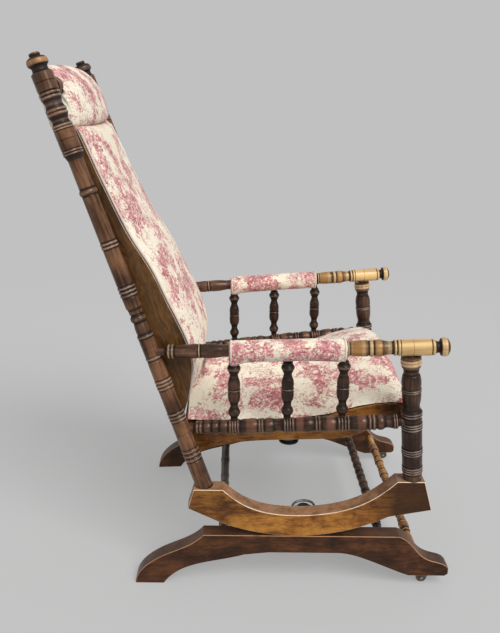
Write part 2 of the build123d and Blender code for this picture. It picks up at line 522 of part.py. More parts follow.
    for k, ys in enumerate(SPINDLE_Y):
        with BuildPart() as spindle:
            top = arm_axis(s, ys)
            low = seat_rail_axis(s, ys)
            z0, z1 = low[2] + 16.8, top[2] - 25.5
            p0, p1 = (low[0], low[1], z0 - 11), (top[0], top[1], z1 + 14)
            ln = (Vector(*p1) - Vector(*p0)).length
            kk = (z1 - z0) / 112.0 * ln / (p1[2] - p0[2])
            a0 = 11.0

            def fs(z):
                return a0 + (z - 382.0) * kk
            segs = [(0, T_SPINDLE, 0), (a0, T_SPINDLE, 0), (a0, 7.2, 0), (fs(386.5), 7.2, -0.2), (fs(390), 9.8, 0), (fs(402), 9.8, 2.2)]
            segs += [(fs(404), 8.6, 0), (fs(408), 7.6, 0), (fs(412), 7.8, -0.2), (fs(416), 9.0, 0), (fs(419.5), 11.2, -0.2), (fs(439), 11.6, 1.2)]
            segs += rings(fs(439.6), fs(443), 1, 12.8, 11.4) + [(fs(444), 11.6, 0), (fs(461), 10.6, 1.2), (fs(467), 8.6, -0.3)]
            segs += [(fs(470.5), 7.8, 0), (fs(475), 9.8, -0.3), (fs(478.5), 10.8, 0), (fs(488), 10.8, 2.4), (fs(490), 9.6, 0), (fs(494), 9.4, 0),
                     (fs(494), T_SPINDLE, 0), (ln, T_SPINDLE, 0)]
            turned(p0, p1, segs)
        spindle.part.label = f"arm_spindle_{side}_{k + 1}"
        export_step(spindle.part, f"parts/arm_spindle_{side}_{k + 1}.step")

    with BuildPart() as arm_pad:
        # stuffed sleeve round the arm rail; the back end hangs lower than the front
        pa, pb = arm_axis(s, 97.0), arm_axis(s, -127.0)
        d = (Vector(*pb) - Vector(*pa)).normalized()
        side_pl = Plane(origin=pa, x_dir=(-1, 0, 0), z_dir=d)
        with BuildSketch(side_pl):
            with Locations((0, -3.5)):
                RectangleRounded(50, 43, 16)
        extrude(amount=(Vector(*pb) - Vector(*pa)).length)
        peg(arm_axis(s, 110), arm_axis(s, -140), 12.0 + 0.15, Mode.SUBTRACT)
        for ys in SPINDLE_Y:
            ax = arm_axis(s, ys)
            peg((ax[0], ax[1], ax[2] - 40), (ax[0], ax[1], ax[2]), 6.4, Mode.SUBTRACT)
    arm_pad.part.label = f"arm_pad_{side}"
    export_step(arm_pad.part, f"parts/arm_pad_{side}.step")

# a steel pin through each arm's core, on the axis about which the chair rolls
with BuildPart() as arm_pins:
    for side, s in SIDES:
        ax = arm_axis(s, ROLL_Y)
        peg((ax[0] - 10.5, yy(ROLL_Y), ROLL_Z), (ax[0] + 10.5, yy(ROLL_Y), ROLL_Z), 2.0)
arm_pins.part.label = "arm_pins"
export_step(arm_pins.part, "parts/arm_pins.step")

# ------------------------------------------------------------------- the seat


def seat_hw(y):
    return SEAT_HW - 0.087 * y


SEAT_HW = 209.0            # half width to the boards' outer faces at station 0
SEAT_T = 18.0
# dowels through the butt joints of the seat's frame: half width, station from, station to, height
SEAT_DOWELS = [(185.4, 148.0, 182.0, 298.0), (185.4, 148.0, 182.0, 310.0), (220.6, -253.0, -222.0, 371.0), (220.6, -253.0, -222.0, 388.0)]
for side, s in SIDES:
    with BuildPart() as seat_side_board:
        with BuildSketch(Plane.YZ.offset(s * 260 if s < 0 else 160)):
            with BuildLine():
                Spline((yy(166), 273), (yy(106), 294), (yy(55), 303), (yy(13), 307), (yy(-49), 310.5), (yy(-110), 314.6), (yy(-148), 320.7), (yy(-189), 340), (yy(-238), 362))
                Line((yy(-238), 362), (yy(-238), 399))
                Spline((yy(-238), 399), (yy(-193), 392.8), (yy(-134), 376.5), (yy(-105), 366.4), (yy(-52), 356.2), (yy(39), 348.1), (yy(166), 344))
                Line((yy(166), 344), (yy(166), 273))
            make_face()
        extrude(amount=100)
        splayed_slab(seat_hw, SEAT_T, s, -244, 170, 260, 410)
        fillet(seat_side_board.faces().sort_by(SortBy.AREA)[-2:].edges(), 1.2)
        for x, y0, y1, z in SEAT_DOWELS:
            peg((s * x, yy(y0 - 0.5), z), (s * x, yy(y1 + 0.5), z), 3.5 + CLR, Mode.SUBTRACT)
    seat_side_board.part.label = f"seat_side_board_{side}"
    export_step(seat_side_board.part, f"parts/seat_side_board_{side}.step")

with BuildPart() as seat_dowels:
    for side, s in SIDES:
        for x, y0, y1, z in SEAT_DOWELS:
            peg((s * x, yy(y0), z), (s * x, yy(y1), z), 3.5)
seat_dowels.part.label = "seat_dowels"
export_step(seat_dowels.part, "parts/seat_dowels.step")

with BuildPart() as seat_front_rail:
    # crosses between the front posts under the stuffed front edge
    w = seat_hw(-238) - 0.5
    with BuildSketch(Plane.XY.offset(362)):
        Polygon((-w, yy(-258)), (w, yy(-258)), (w, yy(-238.4)), (-w, yy(-238.4)), align=None)
    extrude(amount=35)
    for s in (-1.0, 1.0):
        fx = front_axis(s, 380)
        peg((fx[0] - s * 52, yy(-250), 380), (fx[0] - s * 7, yy(-250), 380), 7.0)
        for x, y0, y1, z in SEAT_DOWELS[2:]:
            peg((s * x, yy(y0 - 0.5), z), (s * x, yy(y1 + 0.5), z), 3.5 + CLR, Mode.SUBTRACT)
seat_front_rail.part.label = "seat_front_rail"
export_step(seat_front_rail.part, "parts/seat_front_rail.step")

with BuildPart() as seat_rear_rail:
    w = seat_hw(170) - 0.4
    with BuildSketch(Plane.XY.offset(290)):
        Polygon((-w, yy(166.3)), (w, yy(166.3)), (w, yy(190)), (-w, yy(190)), align=None)
    extrude(amount=48.5)
    for s in (-1.0, 1.0):
        rx = rear_axis(s, (SEAT_REAR_Z - 218) * REAR_UNIT / 832)
        peg((rx[0] - s * 52, yy(179), SEAT_REAR_Z), (rx[0] + s * 3, yy(179), SEAT_REAR_Z), 8.0)
        for x, y0, y1, z in SEAT_DOWELS[:2]:
            peg((s * x, yy(y0 - 0.5), z), (s * x, yy(y1 + 0.5), z), 3.5 + CLR, Mode.SUBTRACT)
seat_rear_rail.part.label = "seat_rear_rail"
export_step(seat_rear_rail.part, "parts/seat_rear_rail.step")

with BuildPart() as seat_webbing:
    # woven webbing and hessian stretched from the front rail down to the rear rail
    with BuildSketch(Plane.YZ.offset(-240)):
        Polygon((yy(-238), 373.7), (yy(-238), 376.7), (yy(-105), 361.7), (yy(39), 349.7), (yy(186), 342.2),
                (yy(186), 339.2), (yy(39), 346.7), (yy(-105), 358.7), align=None)
    extrude(amount=480)
    with BuildSketch(Plane.XY.offset(330)):
        Polygon((-seat_hw(-240) + 18.6, yy(-240)), (seat_hw(-240) - 18.6, yy(-240)), (seat_hw(190) - 18.6, yy(190)),
                (-seat_hw(190) + 18.6, yy(190)), align=None)
    extrude(amount=60, mode=Mode.INTERSECT)
seat_webbing.part.label = "seat_webbing"
export_step(seat_webbing.part, "parts/seat_webbing.step")

# station, underside, crown over the edge, fullness: a high roll in front, lower and rounder behind
SEAT_SECTIONS = [(-264.0, 401.7, 20.0, 0.8), (-252.0, 401.7, 38.0, 1.1), (-225.0, 399.5, 52.0, 1.1), (-190.0, 395.6, 54.0, 1.2), (-162.0, 389.0, 53.0, 1.3),
                 (-134.0, 380.4, 50.0, 1.4), (-100.0, 369.5, 50.0, 1.4), (-60.0, 361.0, 54.0, 1.3), (40.0, 351.7, 62.0, 1.2), (156.0, 347.7, 68.0, 1.2)]
SEAT_EDGE = 2.0            # height of the cushion's upright edge over its underside

with BuildPart() as seat_cushion:
    for ys, zb, crown, full in SEAT_SECTIONS:
        w = seat_hw(ys) - 1.0
        with BuildSketch(Plane.XZ.offset(-yy(ys))):
            with BuildLine():
                top = []
                for f in (-1.0, -0.85, -0.6, -0.3, 0.0, 0.3, 0.6, 0.85, 1.0):
                    top.append((f * w, zb + SEAT_EDGE + crown * (1 - f * f) ** full))
                Line((-w, zb), (w, zb))
                Line((w, zb), (w, zb + SEAT_EDGE))
                Spline(*reversed(top))
                Line((-w, zb + SEAT_EDGE), (-w, zb))
            make_face()
    loft(ruled=True)
    # the front edge bows forward in the middle
    with BuildSketch(Plane.XY.offset(330)):
        with BuildLine():
            Spline((-232, yy(-246)), (-150, yy(-255)), (0, yy(-263)), (150, yy(-255)), (232, yy(-246)))
            Polyline((232, yy(-246)), (232, yy(158)), (-232, yy(158)), (-232, yy(-246)))
        make_face()
    extrude(amount=150, mode=Mode.INTERSECT)
    # the tail that is drawn through under the back
    with BuildSketch(Plane.YZ.offset(-(seat_hw(184) - 1.0))):
        Polygon((yy(150), 347.7), (yy(184), 345.2), (yy(184), 396), (yy(150), 397), align=None)
    extrude(amount=2 * (seat_hw(184) - 1.0))
seat_cushion.part.label = "seat_cushion"
export_step(seat_cushion.part, "parts/seat_cushion.step")

# ------------------------------------------------------------------- the back

BACK_FRONT = [(179, 401), (172, 443), (171, 485), (179, 516), (191, 546), (219, 606), (246, 665), (281, 723), (312, 788),
              (340, 852), (356, 891), (370, 924)]

BOARD_FOOT = 366.0         # the side boards run down past the cushion to here
BACK_CROWN = 12.0          # the stuffing stands this far in front of the side boards


def post_y(z):
    return 147.0 + 284.0 * (z - 218.0) / 832.0


def back_slab(s, thick, gap=0.0, mode=Mode.INTERSECT):
    pts = []
    for z in (340.0, 960.0):
        pts.append((s * (back_outer(z) - gap), z))
    for z in (960.0, 340.0):
        pts.append((s * (back_outer(z) - gap - thick), z))
    with BuildSketch(Plane.XZ.offset(-yy(120))) as strip:
        Polygon(*pts, align=None)
    extrude(strip.sketch, amount=-360, mode=mode)


for side, s in SIDES:
    with BuildPart() as back_side_board:
        with BuildSketch(Plane.YZ.offset(s * 240 if s < 0 else 120)):
            with BuildLine():
                Spline(*[(yy(y), z) for y, z in BACK_FRONT])
                Line((yy(370), 924), (yy(post_y(924) + 14), 924))
                Line((yy(post_y(924) + 14), 924), (yy(post_y(BOARD_FOOT) + 14), BOARD_FOOT))
                Line((yy(post_y(BOARD_FOOT) + 14), BOARD_FOOT), (yy(190), BOARD_FOOT))
                Line((yy(190), BOARD_FOOT), (yy(179), 401))
            make_face()
        extrude(amount=120)
        back_slab(s, BACK_T)
        fillet(back_side_board.faces().sort_by(SortBy.AREA)[-2:].edges(), 1.2)
        for ds in DOWEL_S:
            x, y, z = dowel_pts(s, ds)
            peg((x - s * 28, y, z), (x, y, z), 4.0 + CLR, Mode.SUBTRACT)
    back_side_board.part.label = f"back_side_board_{side}"
    export_step(back_side_board.part, f"parts/back_side_board_{side}.step")

with BuildPart() as back_dowels:
    for side, s in SIDES:
        for ds in DOWEL_S:
            x, y, z = dowel_pts(s, ds)
            peg((x - s * 27, y, z), (x + s * 2.5, y, z), 4.0)
back_dowels.part.label = "back_dowels"
export_step(back_dowels.part, "parts/back_dowels.step")


BACK_UP = Vector(0, 284, 832).normalized()
BACK_N = Vector(1, 0, 0).cross(BACK_UP)      # square to the back, pointing forward and up


def back_plane(z, behind):
    # plane of the back at height z on the posts' line, so far behind that line
    return Plane(origin=Vector(0, yy(post_y(z)), z) - BACK_N * behind, x_dir=(1, 0, 0), z_dir=BACK_N)


def cross_rail(z0, z1, thick):
    # a rail between the two side boards, leaning with them
    ln = (z1 - z0) / BACK_UP.Z
    w0, w1 = back_outer(z0) - BACK_T - 0.6, back_outer(z1) - BACK_T - 0.6
    with BuildSketch(back_plane(z0, 10.0)) as board:
        Polygon((-w0, 0), (w0, 0), (w1, ln), (-w1, ln), align=None)
    extrude(board.sketch, amount=thick)


with BuildPart() as back_bottom_rail:
    cross_rail(402, 442, 18)
back_bottom_rail.part.label = "back_bottom_rail"
export_step(back_bottom_rail.part, "parts/back_bottom_rail.step")

with BuildPart() as back_middle_rail:
    cross_rail(640, 674, 18)
back_middle_rail.part.label = "back_middle_rail"
export_step(back_middle_rail.part, "parts/back_middle_rail.step")

with BuildPart() as back_top_rail:
    cross_rail(884, 918, 18)
back_top_rail.part.label = "back_top_rail"
export_step(back_top_rail.part, "parts/back_top_rail.step")

with BuildPart() as back_cushion:
    # the long stuffed panel between the side boards, following their front edge
    with BuildSketch(Plane.YZ.offset(-230)):
        with BuildLine():
            Spline(*[(yy(y - BACK_CROWN), z) for y, z in BACK_FRONT])
            Line((yy(370 - BACK_CROWN), 924), (yy(post_y(924) - 9.4), 924))
            Line((yy(post_y(924) - 9.4), 924), (yy(post_y(401) - 9.4), 401))
            Line((yy(post_y(401) - 9.4), 401), (yy(179 - BACK_CROWN), 401))
        make_face()
    extrude(amount=460)
    with BuildSketch(Plane.XZ.offset(-yy(100))):
        q = BACK_T + 0.5
        Polygon((-(back_outer(340) - q), 340), (back_outer(340) - q, 340), (back_outer(960) - q, 960), (-(back_outer(960) - q), 960), align=None)
    extrude(amount=-360, mode=Mode.INTERSECT)
back_cushion.part.label = "back_cushion"
export_step(back_cushion.part, "parts/back_cushion.step")

with BuildPart() as back_panel:
    # the outside back: cloth over a thin panel let in between the boards, behind the rails
    w0, w1 = back_outer(402) - BACK_T - 0.6, back_outer(918) - BACK_T - 0.6
    with BuildSketch(back_plane(402, 12.6)):
        ln = (918 - 402) / BACK_UP.Z
        Polygon((-w0, 0), (w0, 0), (w1, ln), (-w1, ln), align=None)
    extrude(amount=2.4)
back_panel.part.label = "back_panel"
export_step(back_panel.part, "parts/back_panel.step")

HX, HY, HZ = rear_axis(1.0, HEAD_CORE_S)
HEAD_W = 163.0
with BuildPart() as head_rail:
    # the wooden core of the head roll; its rounded ends show beside the posts
    with BuildSketch(Plane.YZ.offset(-(HX - 21.5))):
        with Locations((HY - 4, HZ)):
            Circle(HEAD_CORE_R)
    extrude(amount=2 * (HX - 21.5))
    fillet(head_rail.edges().filter_by(GeomType.CIRCLE), 5.0)
    for s in (-1.0, 1.0):
        peg((s * (HX - 30), HY - 6, HZ), (s * (HX + 3), HY - 6, HZ), 6.0)
head_rail.part.label = "head_rail"
export_step(head_rail.part, "parts/head_rail.step")

with BuildPart() as head_roll:
    # fuller in the middle than at its two ends
    for x, fwd, up in ((-HEAD_W, 22.0, 5.0), (-125.0, 11.0, 2.0), (-60.0, 2.0, 0.3), (60.0, 2.0, 0.3), (125.0, 11.0, 2.0), (HEAD_W, 22.0, 5.0)):
        with BuildSketch(Plane.YZ.offset(x)):
            with BuildLine():
                Spline((yy(352 + fwd), 925.5), (yy(352 + fwd), 949), (yy(361 + fwd * 0.9), 982 - up * 0.3), (yy(376 + fwd * 0.7), 1008 - up * 0.6),
                       (yy(397 + fwd * 0.4), 1026 - up), (yy(421), 1036 - up), (yy(440), 1033 - up), (yy(449), 1016 - up * 0.6), (yy(440), 980), (yy(420), 925.5))
                Line((yy(420), 925.5), (yy(352 + fwd), 925.5))
            make_face()
    loft(ruled=True)
    with BuildSketch(Plane.YZ.offset(-HEAD_W - 5)):
        with Locations((HY - 4, HZ)):
            Circle(HEAD_CORE_R + 0.3)
    extrude(amount=2 * HEAD_W + 10, mode=Mode.SUBTRACT)
head_roll.part.label = "head_roll"
export_step(head_roll.part, "parts/head_roll.step")
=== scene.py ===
import math
import random

import bmesh
import bpy
import numpy as np
from mathutils import Matrix, Vector, noise as mnoise
from mathutils.bvhtree import BVHTree


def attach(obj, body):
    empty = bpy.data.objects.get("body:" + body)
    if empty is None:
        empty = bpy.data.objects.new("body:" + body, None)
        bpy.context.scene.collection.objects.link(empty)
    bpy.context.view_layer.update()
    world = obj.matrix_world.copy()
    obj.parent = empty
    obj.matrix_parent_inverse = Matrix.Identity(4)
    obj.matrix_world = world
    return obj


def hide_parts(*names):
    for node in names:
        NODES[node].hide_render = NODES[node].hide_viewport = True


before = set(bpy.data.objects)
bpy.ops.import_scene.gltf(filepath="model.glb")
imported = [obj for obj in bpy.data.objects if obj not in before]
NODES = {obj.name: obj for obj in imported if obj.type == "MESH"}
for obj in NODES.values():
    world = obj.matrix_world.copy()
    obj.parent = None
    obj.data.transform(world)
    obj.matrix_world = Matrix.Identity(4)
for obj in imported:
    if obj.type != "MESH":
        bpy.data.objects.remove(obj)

random.seed(7)
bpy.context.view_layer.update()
YD = -0.046            # datum of the Y stations, as in the construction


# ---------------------------------------------------------------- node helpers

class Tree:
    """Short-hand for building one material's nodes."""

    def __init__(self, name):
        self.m = bpy.data.materials.new(name)
        self.m.use_nodes = True
        self.t = self.m.node_tree
        self.t.nodes.clear()
        self.out = self.t.nodes.new("ShaderNodeOutputMaterial")
        self.bsdf = self.t.nodes.new("ShaderNodeBsdfPrincipled")
        self.t.links.new(self.bsdf.outputs[0], self.out.inputs[0])
        self.co = self.t.nodes.new("ShaderNodeTexCoord").outputs["Object"]

    def put(self, sock, v):
        if isinstance(v, bpy.types.NodeSocket):
            self.t.links.new(v, sock)
        elif v is not None:
            try:
                sock.default_value = v
            except (TypeError, ValueError):
                if isinstance(v, (tuple, list)):
                    sock.default_value = tuple(v) + (1.0,) if len(v) == 3 else tuple(v)[:3]
                else:
                    sock.default_value = (v, v, v)

    def node(self, kind, ins=None, **props):
        n = self.t.nodes.new(kind)
        for k, v in props.items():
            setattr(n, k, v)
        for k, v in (ins or {}).items():
            self.put(n.inputs[k], v)
        return n

    def math(self, op, a, b=None, c=None, clamp=False):
        n = self.t.nodes.new("ShaderNodeMath")
        n.operation = op
        n.use_clamp = clamp
        self.put(n.inputs[0], a)
        if b is not None:
            self.put(n.inputs[1], b)
        if c is not None:
            self.put(n.inputs[2], c)
        return n.outputs[0]

    def vec(self, op, a, b=None, scale=None):
        n = self.t.nodes.new("ShaderNodeVectorMath")
        n.operation = op
        self.put(n.inputs[0], a)
        if b is not None:
            self.put(n.inputs[1], b)
        if scale is not None:
            self.put(n.inputs["Scale"], scale)
        return n.outputs["Value"] if op in ("DOT_PRODUCT", "LENGTH", "DISTANCE") else n.outputs["Vector"]

    def noise(self, vector, scale, detail=2.0, rough=0.5, distort=0.0):
        n = self.node("ShaderNodeTexNoise", {"Vector": vector, "Scale": scale, "Detail": detail, "Roughness": rough, "Distortion": distort})
        return n.outputs["Fac"]

    def noise_vec(self, vector, scale, detail=2.0):
        n = self.node("ShaderNodeTexNoise", {"Vector": vector, "Scale": scale, "Detail": detail})
        return n.outputs["Color"]

    def step(self, v, lo, hi, out_lo=0.0, out_hi=1.0):
        n = self.node("ShaderNodeMapRange", {"Value": v, "From Min": lo, "From Max": hi, "To Min": out_lo, "To Max": out_hi},
                      interpolation_type="SMOOTHSTEP")
        n.clamp = True
        return n.outputs[0]

    def mix(self, f, a, b, blend="MIX"):
        n = self.t.nodes.new("ShaderNodeMix")
        n.data_type = "RGBA"
        n.blend_type = blend
        n.clamp_factor = True
        self.put(n.inputs[0], f)
        self.put(n.inputs[6], a)
        self.put(n.inputs[7], b)
        return n.outputs[2]

    def ramp(self, v, stops, interp="LINEAR"):
        n = self.t.nodes.new("ShaderNodeValToRGB")
        n.color_ramp.interpolation = interp
        el = n.color_ramp.elements
        while len(el) > 1:
            el.remove(el[-1])
        el[0].position = stops[0][0]
        el[0].color = tuple(stops[0][1]) + (1.0,)
        for p, c in stops[1:]:
            e = el.new(p)
            e.color = tuple(c) + (1.0,)
        self.put(n.inputs[0], v)
        return n.outputs[0]

    def bump(self, h, strength=0.2, dist=0.001, normal=None):
        n = self.node("ShaderNodeBump", {"Height": h, "Strength": strength, "Distance": dist})
        if normal is not None:
            self.put(n.inputs["Normal"], normal)
        return n.outputs[0]

    def table(self, v, v0, v1, values):
        """A function of v between v0 and v1 by its evenly spaced values, level outside."""
        n = self.t.nodes.new("ShaderNodeFloatCurve")
        cm = n.mapping
        cm.extend = "HORIZONTAL"
        pts = cm.curves[0].points
        last = len(values) - 1
        pts[0].location = (0.0, float(values[0]))
        pts[1].location = (1.0, float(values[-1]))
        for i in range(1, last):
            pts.new(i / last, float(values[i]))
        for q in pts:
            q.handle_type = "VECTOR"
        cm.update()
        self.put(n.inputs["Value"], self.math("DIVIDE", self.math("SUBTRACT", v, v0), v1 - v0))
        return n.outputs[0]

    def set(self, **kw):
        for k, v in kw.items():
            self.put(self.bsdf.inputs[k.replace("_", " ")], v)


# ---------------------------------------------------------------- wood

def verts(me):
    co = np.zeros(len(me.vertices) * 3)
    me.vertices.foreach_get("co", co)
    return co.reshape(-1, 3)


def relief(node, p0, p1):
    """Where a turned node's beads stand up (+) and its grooves lie (-), along its axis, every half millimetre."""
    a = Vector(p0)
    d = Vector(p1) - a
    ln = d.length
    d.normalize()
    u = d.orthogonal().normalized()
    w_ = d.cross(u)
    bm_ = bmesh.new()
    bm_.from_mesh(NODES[node].data)
    tree = BVHTree.FromBMesh(bm_)
    bm_.free()
    h = 0.0005
    n = int(ln / h) + 1
    rad = np.full((n, 9), np.nan)
    for j in range(9):
        ang = 2 * math.pi * (j + 0.37) / 9
        out = u * math.cos(ang) + w_ * math.sin(ang)
        for i in range(n):
            hit = tree.ray_cast(a + d * (i * h) + out * 0.030, -out, 0.030)
            if hit[0] is not None:
                rad[i, j] = 0.030 - hit[3]
    prof = np.array([np.median(q[~np.isnan(q)]) if (~np.isnan(q)).sum() > 4 else -1.0 for q in rad])
    have = np.nonzero(prof > 0.003)[0]
    prof = np.interp(np.arange(n), have, prof[have])

    def roll(w, f):
        m = int(w / h)
        pad = np.pad(prof, m, mode="edge")
        return f(np.stack([pad[i:i + n] for i in range(2 * m + 1)]), axis=0)

    near_max = roll(0.0045, np.max)
    m = int(0.0042 / h)
    pad = np.pad(prof, m, mode="edge")
    before = np.min(np.stack([pad[i:i + n] for i in range(m + 1)]), axis=0)
    after = np.min(np.stack([pad[m + i:m + i + n] for i in range(m + 1)]), axis=0)
    drop = near_max - prof
    stand = np.clip((prof - np.maximum(before, after) - 0.0006) / 0.0007, 0, 1)
    crest = np.clip(1.0 - drop / 0.00032, 0, 1) * stand
    pit = np.clip((drop - 0.0006) / 0.0011, 0, 1)
    return ln, 0.5 + 0.5 * crest - 0.5 * pit


def base_coords(t, p0, p1, seed):
    a = Vector(p0)
    d = Vector(p1) - a
    ln = d.length
    d.normalize()
    rel = t.vec("SUBTRACT", t.co, tuple(a))
    s = t.vec("DOT_PRODUCT", rel, tuple(d))
    along = t.node("ShaderNodeVectorMath", {0: tuple(d)}, operation="SCALE")
    t.put(along.inputs["Scale"], s)
    radial = t.vec("SUBTRACT", rel, along.outputs["Vector"])
    squeeze = t.node("ShaderNodeVectorMath", {0: tuple(d)}, operation="SCALE")
    t.put(squeeze.inputs["Scale"], t.math("MULTIPLY", s, 0.06))
    q = t.vec("ADD", t.vec("ADD", radial, squeeze.outputs["Vector"]), (seed, seed * 1.7, -seed))
    return rel, s, ln, q


def banded(t, col, s, q, grain, bands):
    for b0, b1, bc, amt in bands:
        soft = 0.003
        m = t.math("MULTIPLY", t.step(s, b0 - soft, b0 + soft), t.step(s, b1 - soft, b1 + soft, 1.0, 0.0))
        ragged = t.step(t.noise(t.vec("ADD", q, (1, 2, 3)), 60.0, 3.0, 0.6), 0.32, 0.56)
        m = t.math("MULTIPLY", m, t.math("ADD", t.math("MULTIPLY", ragged, 0.45), 0.55))
        streaky = t.mix(grain, tuple(c * 0.62 for c in bc), tuple(min(1.0, c * 1.25) for c in bc))
        col = t.mix(t.math("MULTIPLY", m, amt), col, streaky)
    return col


def turned_wood(name, node, p0, p1, pal, worn_and_highlight_colour, wear_and_highlight=0.5, rough=0.30, seed=0.0, bands=(), groove_shade=0.95, blotch=16.0):
    """Varnished turning: grain along the axis, the grooves darkened to near black as painted shade, the beads' crests
    paled partly by rubbed wear and partly by a painted highlight.
    """
    dark, mid, light = pal
    t = Tree(name)
    rel, s, ln, q = base_coords(t, p0, p1, seed)
    grain = t.noise(q, 190.0, 4.0, 0.65)
    fine = t.noise(q, 700.0, 2.0, 0.6)
    patch = t.noise(t.vec("ADD", rel, (seed * 3, seed, 1)), blotch, 3.0, 0.55)
    tone = t.math("ADD", t.math("MULTIPLY", grain, 0.46), t.math("MULTIPLY", patch, 0.54))
    col = t.ramp(t.step(tone, 0.36, 0.66), [(0.0, dark), (0.5, mid), (1.0, light)])
    col = t.mix(t.math("MULTIPLY", t.step(fine, 0.55, 0.70), 0.40), col, tuple(c * 0.4 for c in dark))
    col = banded(t, col, s, q, grain, bands)
    length, rel_mask = relief(node, p0, p1)
    total = None
    parts = max(1, int(math.ceil(length / 0.15)))
    n = len(rel_mask)
    cuts = [0]
    for i in range(1, parts):
        want = int(n * i / parts)
        win = np.arange(max(1, want - 60), min(n - 1, want + 60))
        cuts.append(int(win[np.argmin(np.abs(rel_mask[win] - 0.5) + np.abs(win - want) * 1e-4)]))
    cuts.append(n - 1)
    for c0, c1 in zip(cuts[:-1], cuts[1:]):
        count = min(200, c1 - c0)
        at = np.linspace(c0, c1, count + 1)
        vals = np.interp(at, np.arange(n), rel_mask)
        vals[0] = vals[-1] = 0.5
        v = t.math("SUBTRACT", t.table(s, c0 * 0.0005, c1 * 0.0005, vals), 0.5)
        total = v if total is None else t.math("ADD", total, v)
    crest = t.math("MULTIPLY", total, 2.0, clamp=True)
    pit = t.math("MULTIPLY", total, -2.0, clamp=True)
    # the crests of the beads are paled: partly rubbed wear, partly a painted highlight on every bead
    wear_and_highlight_noise = t.step(t.noise(t.vec("ADD", rel, (5, seed, 2)), 55.0, 3.0, 0.65), 0.34, 0.60)
    pale = t.mix(t.noise(t.vec("ADD", rel, (1, seed, 9)), 160.0, 2.0, 0.5), tuple(c * 0.7 for c in worn_and_highlight_colour), worn_and_highlight_colour)
    col = t.mix(t.math("MULTIPLY", t.math("MULTIPLY", crest, t.math("ADD", t.math("MULTIPLY", wear_and_highlight_noise, 0.70), 0.30)), wear_and_highlight), col, pale)
    # painted shade: the grooves between the beads are darkened to near black where they lie in the recess
    col = t.mix(t.math("MULTIPLY", pit, groove_shade), col, (0.006, 0.0030, 0.0018))
    r = t.math("ADD", rough, t.math("MULTIPLY", t.math("SUBTRACT", patch, 0.5), 0.22))
    r = t.math("ADD", r, t.math("MULTIPLY", pit, 0.35))
    t.set(Base_Color=col, Roughness=r)
    t.bsdf.inputs["Specular IOR Level"].default_value = 0.34
    t.bsdf.inputs["Specular Tint"].default_value = (1.0, 0.84, 0.70, 1.0)
    t.bsdf.inputs["Coat Weight"].default_value = 0.10
    t.bsdf.inputs["Coat Roughness"].default_value = 0.10
    t.bsdf.inputs["Coat Tint"].default_value = (1.0, 0.88, 0.78, 1.0)
    h = t.math("ADD", t.math("MULTIPLY", fine, 0.4), t.math("MULTIPLY", grain, 0.6))
    t.set(Normal=t.bump(h, 0.14, 0.0005))
    return t.m


